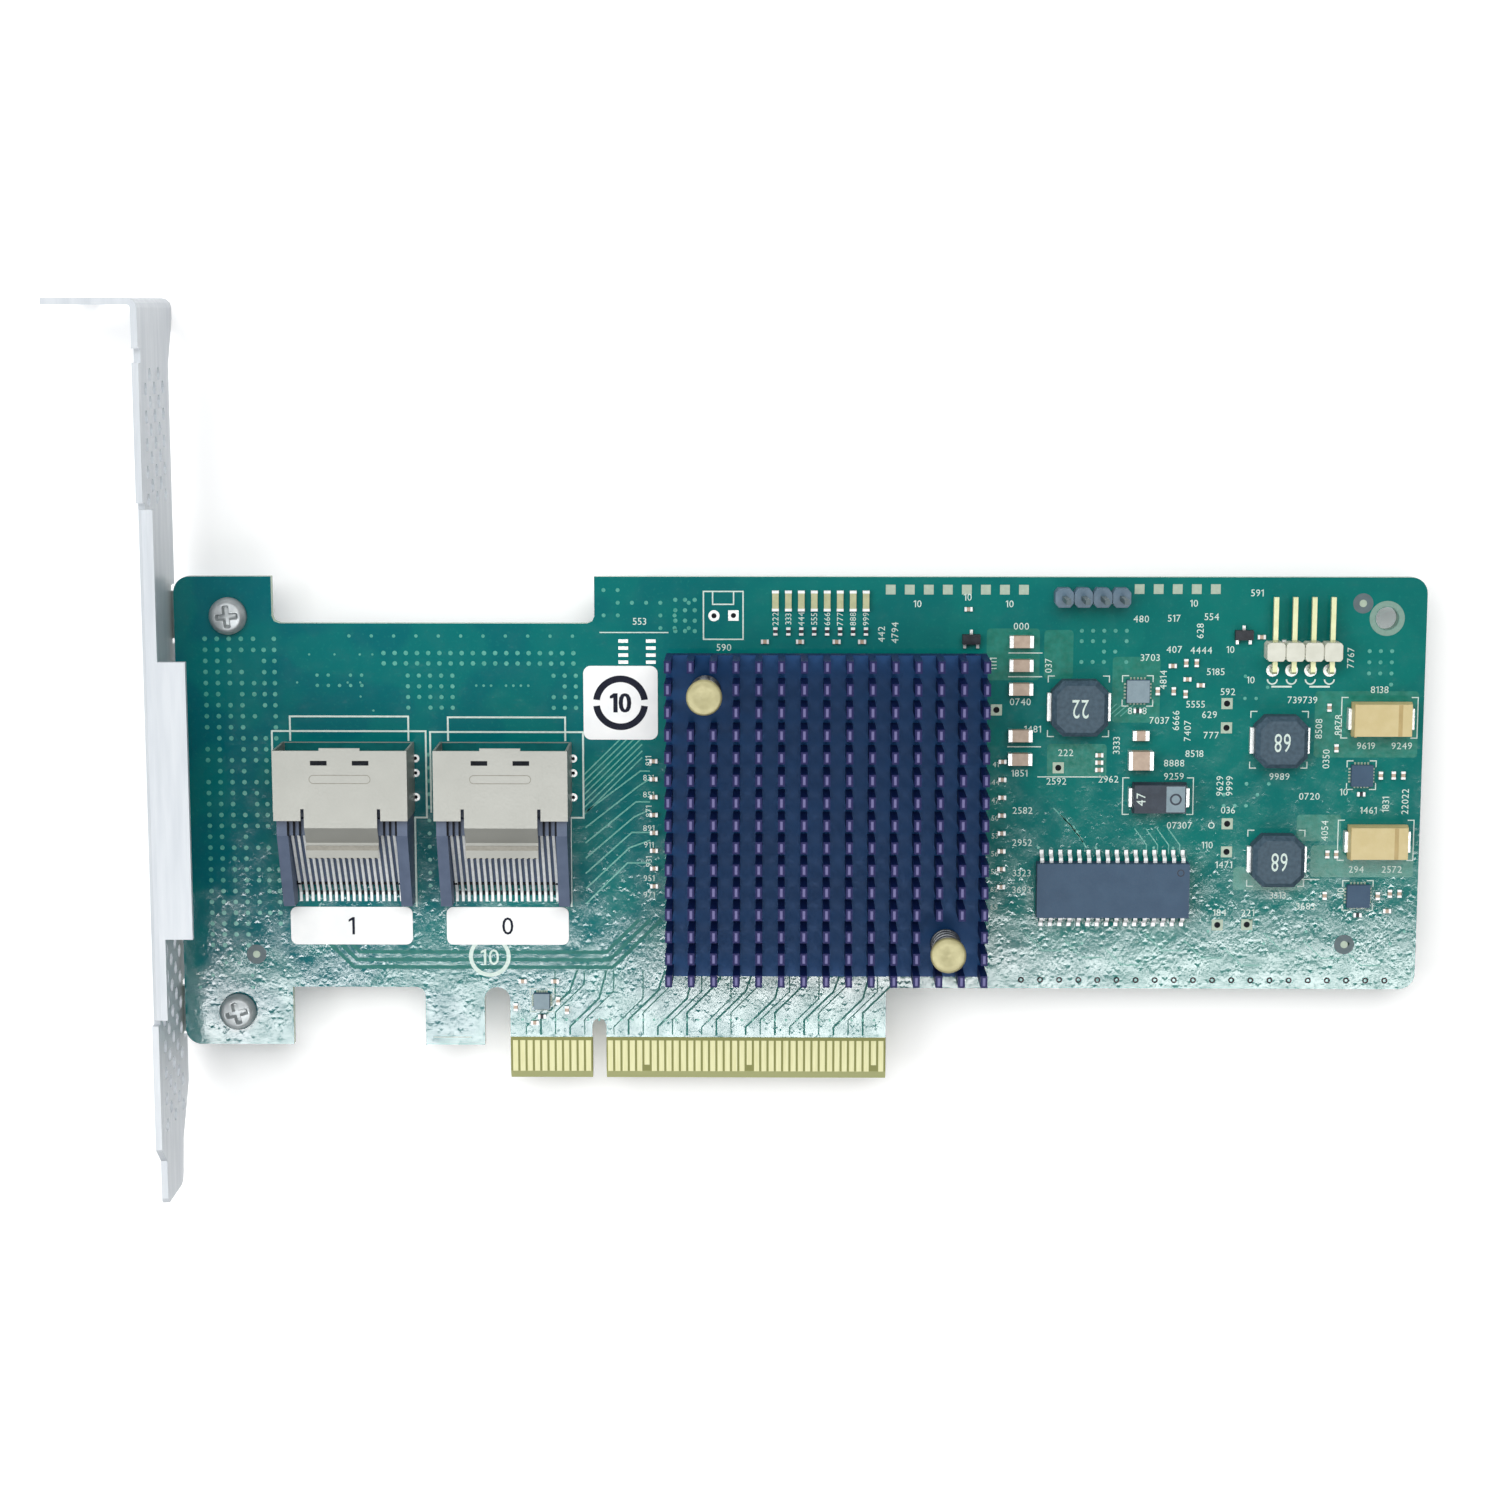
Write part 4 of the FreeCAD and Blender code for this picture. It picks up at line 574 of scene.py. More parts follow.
# ---- screws, pins and springs --------------------------------------------------------------------
def screw_heads():
    """Pan heads as height fields over rings, R their radius: the top, less 0.55 (r/R)^2, less 0.75
    times the square of how far r is from 0.7 R to R, less 1 mm where the nearer arm of a cross is
    under 0.42 mm away and r under 1.55 mm. The shank below is turned, with seven ridges of thread."""
    low, high, _ = place("bracket_screws")
    radius, top = (high[0] - low[0]) / 2, high[2]
    r = np.concatenate([np.linspace(0, 1.6, 26), np.linspace(1.7, radius, 12)])[:, None]
    a = np.linspace(0, TURN, 96, endpoint=False)
    dome = top - 0.55 * (r / radius) ** 2 - 0.75 * np.maximum(0, (r / radius - 0.7) / 0.3) ** 2
    seat = 0.02
    thread = [(reach, z + up) for z in low[2] + 0.5 + 0.32 * np.arange(7)
              for reach, up in ((1.45, 0), (1.2, 0.16))]
    shape = Shape()
    for y, turn in ((low[1] + radius, 0.25), (high[1] - radius, 0.1)):
        x = low[0] + radius
        arm = np.minimum(abs(r * np.cos(a - turn)), abs(r * np.sin(a - turn)))
        recess = np.clip((0.42 - arm) / 0.16, 0, 1) * np.clip((1.55 - r) / 0.35, 0, 1)
        head = spread(x + r * np.cos(a), y + r * np.sin(a), dome - recess)
        rim = spread(head[-1, :, 0], head[-1, :, 1], seat)
        shape.tube(np.concatenate([head, [rim, np.broadcast_to((x, y, seat), rim.shape)]]))
        shape.turned(x, y, [(0, low[2]), (0.9, low[2]), (1.35, low[2] + 0.35), *thread, (1.4, 0),
                            (0, 0)], 32)
    piece("bracket_screw_details", shape, LOOK["screw"], smooth=True, closed=True,
          replaces=["bracket_screws"])


def pin_centres():
    """Where the two push pins stand: at opposite corners of their common box."""
    low, high, _ = place("heatsink_push_pins")
    return [(low[0] + PIN_HEAD, high[1] - PIN_HEAD), (high[0] - PIN_HEAD, low[1] + PIN_HEAD)]


def push_pins():
    """Turned brass pins: a ringed head, a smooth shank and, below the board, a barb in two halves.
    Each half is an arc (r cos a, r sin a) carried down its (r, z) profile and cut off flat 0.28 mm
    from the middle, so a runs from arcsin(0.28 / r) to as far from the other end."""
    low, high, _ = place("heatsink_push_pins")
    top, under = high[2], high[2] - 1.1
    slit = 0.28
    r, z = np.array([(1.1, BACK), (1.75, BACK - 0.12), (1.7, BACK - 0.5), (0.9, low[2] + 0.15),
                     (0.7, low[2])]).T[..., None]
    start = np.arcsin(np.minimum(slit / r, 0.95))
    a = start + (math.pi - 2 * start) * np.linspace(0, 1, 16)
    shape = Shape()
    for x, y in pin_centres():
        shape.turned(x, y, [(0, top - 0.05), (0.35, top - 0.04), (0.45, top), (1.2, top - 0.02),
                            (1.3, top), (2.05, top), (2.2, top - 0.06), (PIN_HEAD, top - 0.25),
                            (PIN_HEAD, under + 0.15), (2.2, under), (1.2, under),
                            (1.2, BACK), (1.1, BACK - 0.05), (0, BACK - 0.05)])
        for side in (-1, 1):
            arc = spread(x + r * np.cos(a), y + side * r * np.sin(a), z)
            cut = spread(x + np.array([-0.2, 0.2]), y + side * slit, z)
            shape.tube(np.concatenate([arc, cut], 1), ends=True)
    piece("push_pin_details", shape, LOOK["brass"], smooth=True, closed=True,
          replaces=["heatsink_push_pins"])


def springs():
    """Round wire on a helix of four and a half turns: at angle t along it and b round the wire, the
    reach is R + w cos b and the height rises evenly with t, plus w sin b."""
    low, high, _ = place("heatsink_springs")
    wire, radius, turns = 0.22, 1.85, 4.5
    share = np.linspace(0, 1, 161)[:, None]
    t, b = TURN * turns * share, np.linspace(0, TURN, 10, endpoint=False)
    reach = radius + wire * np.cos(b)
    rise = low[2] + wire + (high[2] - low[2] - 2 * wire) * share + wire * np.sin(b)
    shape = Shape()
    for x, y in pin_centres():
        shape.tube(spread(x + reach * np.cos(t), y + reach * np.sin(t), rise), ends=True)
    piece("spring_coils", shape, LOOK["wire"], smooth=True, closed=True,
          replaces=["heatsink_springs"])


def solder_joints():
    """Concave tin fillets, turned round each header pin's tail on the back face."""
    tip = place("header_solder_joints")[0][2]
    shape = Shape()
    for x, y in LED_PINS + SERVICE_PINS:
        shape.turned(x, y, [(0, BACK - 0.01), (0.95, BACK - 0.01), (0.8, BACK - 0.12),
                            (0.55, BACK - 0.4), (0.4, BACK - 0.8), (0.34, tip + 0.06), (0.2, tip),
                            (0, tip)], 20)
    piece("header_joint_fillets", shape, LOOK["tin"], smooth=True, closed=True,
          replaces=["header_solder_joints"])


# ---- labels --------------------------------------------------------------------------------------
def labels():
    """Stickers with round corners and plain digits; two arcs stand round the dial label's."""
    paper, ink = Shape(), Shape()
    low, high, middle = place("port_labels")
    width, height = 16.6, high[1] - low[1]
    for x, text in ((low[0] + width / 2, "1"), (high[0] - width / 2, "0")):
        paper.prism(rounded(x, middle[1], width, height, 0.9), 0.0, PAPER)
        number(ink, text, x, middle[1], 2.4, PAPER + INK)
    low, high, (x, y, _) = place("dial_label")
    side = high[0] - low[0]
    paper.prism(rounded(x, y, side, side, 1.0), 0.0, PAPER)
    for turn in ((0.02, 0.48), (0.52, 0.98)):
        ink.ring(x, y, 2.8, 3.7, PAPER + INK, 40, turn)
    number(ink, "10", x, y, 2.6, PAPER + INK, narrow=0.9, bold=0.12)
    piece("label_stickers", paper, LOOK["paper"],
          replaces=["port_labels", "dial_label"])
    piece("label_print", ink, LOOK["ink"])


# ---- port shells ---------------------------------------------------------------------------------
def port_details():
    """Painted shade on each port: a band along its pressed line and one across the groove of its spring
    tab, dark blocks in its roof slots, in the serration of its spring tab and in the slots above and
    between its leads, and a dark sheet inside its mouth. The pressed line runs round a band with
    half-round ends: (x + s (half + bend sin a), y - s bend cos a), where s is -1 at one end and 1 at
    the other."""
    line, dark, mouth = Shape(), Shape(), Shape()
    pitch, lip, roof_length, half, bend = 0.8, 0.35, 9.4, 3.5, 0.55
    a, end = np.linspace(0, math.pi, 9), np.array([[-1], [1]])
    for name in ("port_1", "port_0"):
        low, high, middle = place(name + "_shell")
        x, roof, front = middle[0], high[2], high[1] - lip
        back, tab_end = front - roof_length, low[1]
        band = np.stack([x + end * (half + bend * np.sin(a)), front - 3.8 - end * bend * np.cos(a)], -1)
        band = band.reshape(-1, 2)
        # painted shade: a dark band along the roof's pressed line, and one across the spring tab's
        # groove
        line.stroke(np.vstack([band, band[:1]]), 0.1, roof + 0.012)
        line.box((x - 4.85, tab_end + 1.15, low[2] + 7.02), (x + 4.85, tab_end + 1.75, low[2] + 7.26))
        # painted shade: dark blocks in the slots of the shell and housing and beside the outer leads
        for side in (-1, 1):
            for i in range(3):
                dark.block(x + side * (5.6 + pitch * i), back - 1.15, 6.94, (0.26, 2.1, 0.3))
            dark.block(x + side * 2.77, front - 1.63, roof - 0.02, (2.2, 0.62, 0.03))
            dark.block(x + side * 6.95, back - 9.75, 0.8, (0.6, 0.5, 0.4))
        # painted shade: dark dashes for the spring tab's serration
        for i in range(12):
            dark.block(x + (i - 5.5) * pitch, tab_end + 0.06, 7.0, (0.3, 0.16, 0.02))
        # painted shade: dark blocks between neighbouring leads
        leads = islands(name + "_leads")
        for (_, first), (second, _) in zip(leads, leads[1:]):
            gap = (first[0] + second[0]) / 2
            dark.block(gap, back - 9.8, 0.8, (0.44, 0.45, 0.2))
            dark.block(gap, back - 11.3, 0.0, (0.3, 0.6, 0.05))
        # painted shade: a dark teal sheet inside each port's mouth
        mouth.block(x, front - 2.3, low[2] + 0.3, (17.1, 4.4, 0.03))
    piece("shell_press_shade", line, LOOK["line"])
    piece("port_shade_marks", dark, LOOK["void"])
    piece("port_mouth_shade", mouth, LOOK["mouth"])


# ---- copper and its pads -------------------------------------------------------------------------
VIA_GRIDS = [  # x from, x to, y from, y to, pitch along x, pitch along y, share present, radius
    (-52.6, -46.8, 18.5, 61.0, 1.62, 1.5, 0.92, 0.33),
    (-46.1, -43.2, 21.5, 61.0, 1.4, 1.5, 0.72, 0.32),
    (-33.2, -3.0, 60.9, 61.2, 3.0, 1.0, 1.0, 0.24), (-28.6, -2.2, 57.2, 59.0, 1.5, 1.4, 1.0, 0.32),
    (-25.4, -18.6, 51.2, 56.0, 1.5, 1.45, 0.8, 0.3), (-5.8, -2.2, 51.2, 56.0, 1.5, 1.45, 0.9, 0.3),
    (-16.2, -8.8, 54.2, 54.6, 1.0, 1.0, 0.8, 0.18), (-37.6, -31.5, 54.2, 56.0, 1.5, 1.4, 0.8, 0.24),
    (-42.0, -30.0, 50.8, 60.0, 1.7, 1.9, 0.3, 0.16), (1.0, 13.0, 62.0, 68.0, 1.9, 1.7, 0.35, 0.28),
    (10.6, 13.6, 61.6, 66.0, 1.3, 1.4, 1.0, 0.3), (65.0, 72.0, 57.5, 62.5, 1.5, 1.4, 0.8, 0.28),
    (84.5, 93.0, 38.0, 42.5, 1.5, 1.5, 0.45, 0.26), (103.5, 107.8, 54.5, 60.0, 1.5, 1.5, 0.8, 0.28),
    (87.0, 91.0, 52.6, 57.0, 1.5, 1.5, 0.5, 0.24), (60.0, 110.0, 19.0, 22.5, 1.9, 1.7, 0.3, 0.22),
    (-22.8, -20.8, 25.0, 45.0, 1.6, 1.8, 0.7, 0.28), (-10.5, 38.0, 8.2, 8.6, 1.5, 1.0, 1.0, 0.2),
    (-54.5, -42.0, 12.6, 17.0, 1.8, 1.7, 0.5, 0.24), (57.0, 84.0, 30.0, 36.0, 2.6, 2.2, 0.2, 0.2)]
POURS = [  # x from, y from, x to, y to
    (60.0, 55.2, 63.9, 61.8), (69.2, 49.3, 75.6, 58.2), (60.6, 41.8, 68.6, 46.4),
    (94.4, 33.2, 100.4, 36.8), (96.4, 44.6, 110.3, 53.6), (96.4, 28.2, 110.3, 32.6),
    (52.3, 55.0, 59.4, 62.0), (86.0, 26.4, 95.6, 29.6)]


def board_copper():
    """Pours that show as paler green, via dots through the board, traces, and bare or tinned pads."""
    pours, vias, traces, bands, pads, bare, rings, dark, marks, barrel = (Shape() for _ in range(10))
    for x0, y0, x1, y1 in POURS:
        pours.prism(rounded((x0 + x1) / 2, (y0 + y1) / 2, x1 - x0, y1 - y0, 0.5, 3), 0, POUR_Z)
    for x0, x1, y0, y1, across, up, share, radius in VIA_GRIDS:
        for x in np.arange(x0, x1, across):
            for y in np.arange(y0, y1, up):
                if rng.random() < share:
                    vias.disc(x, y, radius, PAD_Z, 8)
                    vias.disc(x, y, radius, BACK - PAD_Z, 8)
    for x in np.arange(57.5, 109.0, 2.6):
        dark.ring(x, 13.9, 0.22, 0.42, PAD_Z, 12)

    for i in range(7):                      # from the controller to the memory chip
        y = 24.4 + 2.1 * i
        traces.stroke([(-1.6, y), (4.0 + 0.3 * i, y + 5.6), (7.0, y + 5.6 + (i % 2))], 0.2, TRACE_Z)
        traces.stroke([(-2.0, 36.5 + i * 0.9), (6.0, 44.4 + i * 0.9)], 0.18, TRACE_Z)
    for i in range(3):                      # bus along the ports' lower edge
        y, side = 15.5 + 1.05 * i, 0.43 * i
        bands.stroke([(side + y - 52.4, 19.0), (side - 33.4, y), (1.9 - side, y),
                      (8.4 - 1.5 * i, 22.0)], 0.5, TRACE_Z)
    for i in range(24):                     # up from the edge contacts, none over the key notch
        x, y = -10.0 + 2.0 * i, i % 3
        if abs(x) > 1.2:
            bands.stroke([(x, 6.2), (x, 7.2 + y), (x + 4.0, 11.2 + y), (x + 4.0 + i % 2, 15.0)],
                         0.26 if i % 2 else 0.16, TRACE_Z)
    for i in range(9):                      # along the free end's lower edge
        x, y = 58.0 + 5.4 * i, 18.0 - (i % 3)
        traces.stroke([(x, y + 2.4), (x + 2.4, y), (x + 5.0, y)], 0.14, TRACE_Z)
    for i in range(4):                      # between the power parts
        y = -0.8 * i
        traces.stroke([(61.6 + 0.9 * i, 37.6 + y), (64.6 + 0.5 * i, 34.6 + y)], 0.16, TRACE_Z)
        x = 72.6 + 1.5 * i
        traces.stroke([(x, 34.8), (x + 1.6, 32.6), (x + 1.6, 31.4)], 0.14, TRACE_Z)
        traces.stroke([(68.0 + 0.8 * i, 50.2), (69.8 + 0.8 * i, 51.8)], 0.14, TRACE_Z)
    for i in range(6):                      # two nests on the back
        x, y = -1.2 * i, 34.0 - i
        traces.stroke([(60.0 + x, y - 6), (54.0 + x, y), (20.0 + 2 * i, y)], 0.3, BACK - TRACE_Z)
        y = 22.0 + 4 * i
        traces.stroke([(-44.0, y), (-20.0, y), (-8.0, 30.0 + 3 * i)], 0.3, BACK - TRACE_Z)

    for start, y, count in ((39.4, 67.2, 8), (72.6, 67.3, 5)):
        for i in range(count):
            bare.block(start + PITCH * i, y, 0, (1.3, 1.3, PAD_Z))
    for x, y in ((84.62, 51.9), (84.62, 48.61), (85.03, 35.52), (85.03, 31.67), (62.13, 43.14),
                 (84.02, 21.58), (88.02, 21.64), (53.7, 51.0)):
        bare.block(x, y, 0, (1.5, 1.5, PAD_Z))
        dark.disc(x, y, 0.42, PAD_Z + 0.01)
    for x, y in FIDUCIALS:
        bare.disc(x, y, 0.5, PAD_Z + 0.02, 20)
        bare.disc(x, y, 0.5, BACK - PAD_Z - 0.02, 20)
        marks.disc(x, y, 1.35, PAD_Z, 28)
        marks.disc(x, y, 1.35, BACK - PAD_Z, 28)
    for x in (-24.57, -3.26):
        for y in (44.3, 42.3, 39.0):
            pads.ring(x, y, 0.24, 0.55, PAD_Z, 20)
            dark.disc(x, y, 0.24, PAD_Z)
    pads.ring(15.78, 63.66, 0.35, 0.75, PAD_Z, 24)
    dark.disc(15.78, 63.66, 0.35, PAD_Z)
    pads.block(18.38, 63.7, 0, (1.4, 1.4, PAD_Z))
    dark.disc(18.38, 63.7, 0.35, PAD_Z + 0.01)
    for x, y in LED_PINS:
        pads.ring(x, y, 0.4, 0.85, PAD_Z, 20)
    for x, y in BOARD_HOLES:
        for z in (PAD_Z, BACK - PAD_Z):
            rings.ring(x, y, 1.6, 2.35, z, 40)
    for i in range(4):
        for x in (3.6, 7.3):
            pads.block(x, 57.4 + 0.95 * i, 0, (1.3, 0.45, PAD_Z))
    for low, high in islands("regulator_chips"):
        for i in np.linspace(0.2, 0.8, 5):
            x, y = low[0] + i * (high[0] - low[0]), low[1] + i * (high[1] - low[1])
            for a, b, size in ((x, low[1], (0.24, 0.6)), (x, high[1], (0.24, 0.6)),
                               (low[0], y, (0.6, 0.24)), (high[0], y, (0.6, 0.24))):
                bare.block(a, b, 0, (*size, PAD_Z + 0.05))
    for x, y in ((-10.0, 30.0), (22.0, 60.0), (70.0, 45.0), (98.0, 40.0), (-38.0, 52.0)):
        pads.disc(x, y, 0.9, BACK - PAD_Z, 24)
    barrel.turned(*END_HOLE, [(1.56, PAD_Z), (1.52, PAD_Z), (1.52, BACK - PAD_Z),
                              (1.56, BACK - PAD_Z), (1.56, PAD_Z)])
    piece("copper_pours", pours, LOOK["pour"])
    piece("via_dots", vias, LOOK["via"])
    piece("copper_traces", traces, LOOK["via"])
    piece("copper_bands", bands, LOOK["trace"])
    piece("tinned_pads", pads, LOOK["tin"])
    piece("bare_pads", bare, LOOK["bare"])
    piece("hole_rings", rings, LOOK["ring"])
    piece("end_hole_barrel", barrel, LOOK["ring"], closed=True)
    piece("pad_holes", dark, LOOK["void"])
    piece("sighting_marks", marks, LOOK["mark"])


# ---- silkscreen ----------------------------------------------------------------------------------
LABELS = [  # x, y, digits, turn
    (56.9, 62.3, 3, 0), (60.6, 57.0, 3, 90), (56.9, 52.1, 4, 0), (53.2, 57.2, 4, 90),
    (58.6, 48.4, 4, 0), (56.9, 42.4, 4, 0), (63.1, 45.2, 3, 0), (61.9, 41.3, 4, 0),
    (68.9, 41.6, 4, 0), (69.9, 46.2, 4, 90), (74.2, 58.1, 4, 0), (77.4, 59.2, 3, 0),
    (81.0, 59.1, 4, 0), (76.0, 55.1, 4, 90), (83.0, 56.2, 4, 0), (80.4, 51.8, 4, 0),
    (84.7, 53.5, 3, 0), (82.3, 50.4, 3, 0), (77.8, 49.6, 4, 90), (75.6, 49.6, 4, 0),
    (79.4, 48.2, 4, 90), (82.6, 47.6, 3, 0), (72.6, 50.9, 4, 0), (80.4, 45.1, 4, 0),
    (77.7, 43.8, 4, 0), (77.7, 42.0, 4, 0), (83.9, 40.7, 4, 90), (85.2, 40.7, 4, 90),
    (85.1, 37.4, 3, 0), (78.6, 35.3, 5, 0), (82.4, 32.6, 3, 0), (84.7, 29.9, 4, 0),
    (84.3, 23.3, 3, 0), (88.1, 23.3, 3, 0), (57.4, 37.3, 4, 0), (57.4, 32.9, 4, 0),
    (57.4, 28.7, 4, 0), (57.4, 26.4, 4, 0), (55.3, 65.3, 2, 0), (79.9, 65.4, 2, 0),
    (72.9, 63.3, 3, 0), (77.3, 63.4, 3, 0), (82.3, 63.6, 3, 0), (88.3, 66.8, 3, 0),
    (80.8, 61.7, 3, 90), (84.9, 59.2, 2, 0), (87.7, 55.1, 2, 0), (94.7, 52.4, 6, 0),
    (101.0, 58.1, 4, 90), (105.0, 53.8, 4, 0), (97.0, 48.5, 4, 90), (99.6, 49.0, 4, 90),
    (108.2, 46.2, 4, 0), (103.4, 46.2, 4, 0), (91.9, 42.0, 4, 0), (98.1, 44.4, 4, 90),
    (96.0, 39.3, 4, 0), (100.6, 39.9, 2, 0), (104.0, 37.4, 4, 0), (106.3, 38.2, 4, 90),
    (108.9, 38.6, 5, 90), (107.4, 29.3, 4, 0), (102.6, 29.3, 3, 0), (92.1, 25.7, 4, 0),
    (95.9, 24.2, 4, 0), (98.2, 34.6, 4, 90), (38.2, 61.2, 3, 90), (40.0, 61.4, 4, 90),
    (49.7, 66.2, 2, 0), (5.8, 62.9, 3, 0), (17.1, 59.4, 3, 0), (100.6, 26.2, 2, 90),
    (43.0, 65.3, 2, 0)]
SMALL_PARTS = [  # x, y, whether its length runs along Y
    (77.2, 57.0, 0), (79.0, 57.4, 1), (80.4, 57.4, 1), (79.2, 55.2, 0), (81.0, 54.4, 0),
    (77.4, 53.6, 1), (79.0, 53.2, 1), (67.6, 44.9, 0), (67.6, 43.9, 0), (67.6, 42.9, 0),
    (86.2, 60.9, 0), (89.0, 60.9, 0), (98.3, 51.4, 1), (99.4, 45.9, 1), (107.2, 42.2, 1),
    (108.5, 42.2, 1), (98.6, 31.4, 1), (99.8, 31.4, 1), (107.2, 26.0, 1), (108.5, 26.0, 1),
    (106.9, 23.6, 0), (98.4, 25.7, 1), (22.6, 60.2, 0), (27.3, 60.2, 0), (32.2, 60.2, 0),
    (35.6, 60.2, 0), (-10.4, 13.6, 0), (-6.0, 13.6, 0), (-11.4, 10.0, 1), (-4.4, 9.6, 1),
    (-8.8, 7.8, 0), (49.8, 64.6, 0), (92.0, 60.0, 1), (60.0, 25.8, 1)]
SMALL_SIZE = (1.0, 0.5, 0.35)


def silkscreen():
    """White outlines and plain running numbers beside the parts, on both faces."""
    ink = Shape()
    bold, thin, z = 0.24, 0.14, SILK_Z
    for left, right, step, up_l, up_r, top, upper in (      # round the ports
            (-43.88, -23.12, -24.73, -41.41, -25.44, 48.0, 50.0),
            (-22.52, -1.9, -3.65, -20.1, -4.29, 47.9, 49.9)):
        ink.stroke([(left, 37.0), (left, top), (right, top), (right, 36.2), (step, 36.2),
                    (step, 24.0)], bold, z)
        ink.stroke([(up_l, 46.8), (up_l, upper), (up_r, upper), (up_r, 46.8)], bold, z + CROSSING)
    ink.frame(14.37, 60.5, 19.67, 66.93, 0.18, z)
    ink.frame(15.6, 65.2, 18.4, 66.93, 0.18, z + CROSSING)
    for node_name, gap in (("regulator_chips", 0.5), ("inductor_bodies", 0.35)):
        for low, high in islands(node_name):
            x, y = (low[0] + high[0]) / 2, (low[1] + high[1]) / 2
            u, v = (high[0] - low[0]) / 2 + gap, (high[1] - low[1]) / 2 + gap
            for a, b in ((1, 1), (1, -1), (-1, 1), (-1, -1)):
                ink.stroke([(x + a * u, y + b * (v - 0.8)), (x + a * u, y + b * v),
                            (x + a * (u - 0.8), y + b * v)], thin, z)
    for node_name in ("tantalum_capacitors", "polymer_capacitor"):
        for low, high in islands(node_name):
            for side, x in ((-1, low[0] - 1.1), (1, high[0] + 1.1)):
                ink.stroke([(x - side * 0.8, low[1] - 0.4), (x, low[1] - 0.4), (x, high[1] + 0.4),
                            (x - side * 0.8, high[1] + 0.4)], thin, z)
    for x, _ in LED_PINS:
        ink.ring(x, 55.2, 0.55, 0.75, z, 12, (0.5, 1.0))
    for x in (90.6, 95.7):
        ink.stroke([(x, 54.2), (x + 2.5, 54.2)], bold, z)
    ink.ring(-14.86, 17.0, 2.3, 2.85, z, 40)
    number(ink, "10", -14.86, 16.9, 2.2, z)
    for x0, x1, y in ((0.5, 9.6, 61.4), (55.3, 59.7, 58.7), (55.3, 59.7, 55.5), (55.3, 59.7, 46.0),
                      (-22.6, -17.6, 5.7), (59.4, 68.4, 41.9), (92.6, 97.6, 27.9)):
        ink.stroke([(x0, y), (x1, y)], thin, z)
    ink.ring(82.9, 35.3, 0.3, 0.45, z, 12)
    for i, (x, y, digits, turn) in enumerate(LABELS):
        text = "10" if digits == 2 else str(1000 + 37 * i)[-3:] * 2
        number(ink, text[:digits], x, y, 0.92, z, turn)
        if i % 3 == 0:
            number(ink, text[:digits], x, y, 1.2, BACK - z, turn, narrow=-1.0)
    for i in range(8):
        number(ink, str(i + 2) * 3, 24.0 + 1.73 * i, 63.25, 0.8, z, turn=90)
    for i in range(9):
        number(ink, str(811 + 20 * i), 6.9, 44.0 - 2.3 * i, 0.8, z, turn=0 if i % 3 else 90)
        number(ink, str(41 + 3 * i), 53.7, 43.6 - 2.45 * i, 0.7, z)
    piece("silkscreen", ink, LOOK["silk"])

    ink = Shape()
    for x, text, y in ((64.7, "22", 51.5), (91.7, "68", 47.0), (91.7, "68", 30.8)):
        number(ink, text, x, y, 2.5, 3.0 + INK, turn=180, narrow=0.62)
    number(ink, "47", 73.0, 39.3, 1.2, 2.8 + INK, turn=90)
    piece("part_numbers", ink, LOOK["silk"])


# ---- parts' own details --------------------------------------------------------------------------
def chip_parts():
    """Plated ends on every chip part, and the smallest chip parts, which are bodies of their own."""
    body, plate = Shape(), Shape()
    long, wide, tall = SMALL_SIZE
    for x, y, stands in SMALL_PARTS:
        u, v = (wide, long) if stands else (long, wide)
        low, high = (x - u / 2, y - v / 2, 0), (x + u / 2, y + v / 2, tall)
        body.box(low, high)
        plate.end_caps(low, high)
    for name, share in (("chip_capacitors", 0.28), ("chip_resistors", 0.28),
                        ("back_capacitors", 0.26), ("activity_leds", 0.12)):
        for low, high in islands(name):
            plate.end_caps(low, high, share)
    piece("small_chip_bodies", body, LOOK["ceramic"])
    piece("chip_part_ends", plate, LOOK["lead"])


def gull_wings():
    """The memory chip's leads: a flat strip carried along a path of (share of its reach, height)
    points, out of the chip's side, down a slope and out again along the board."""
    thick, margin = 0.15, 0.05
    share, height = np.array([(0, 1.25), (0.3, 1.25), (0.42, 1.15), (0.6, 0.22), (0.7, 0.12),
                              (1, 0.1)]).T[..., None]
    middle = place("memory_chip")[2]
    shape = Shape()
    for low, high in islands("memory_chip_leads"):
        edge, foot = (low[1], high[1]) if low[1] > middle[1] else (high[1], low[1])
        left, right = low[0] - margin, high[0] + margin
        shape.tube(spread([left, right, right, left], edge + (foot - edge) * share,
                          height + np.array([0, 0, thick, thick])), ends=True)
    piece("memory_gull_wings", shape, LOOK["lead"], closed=True,
          replaces=["memory_chip_leads"])


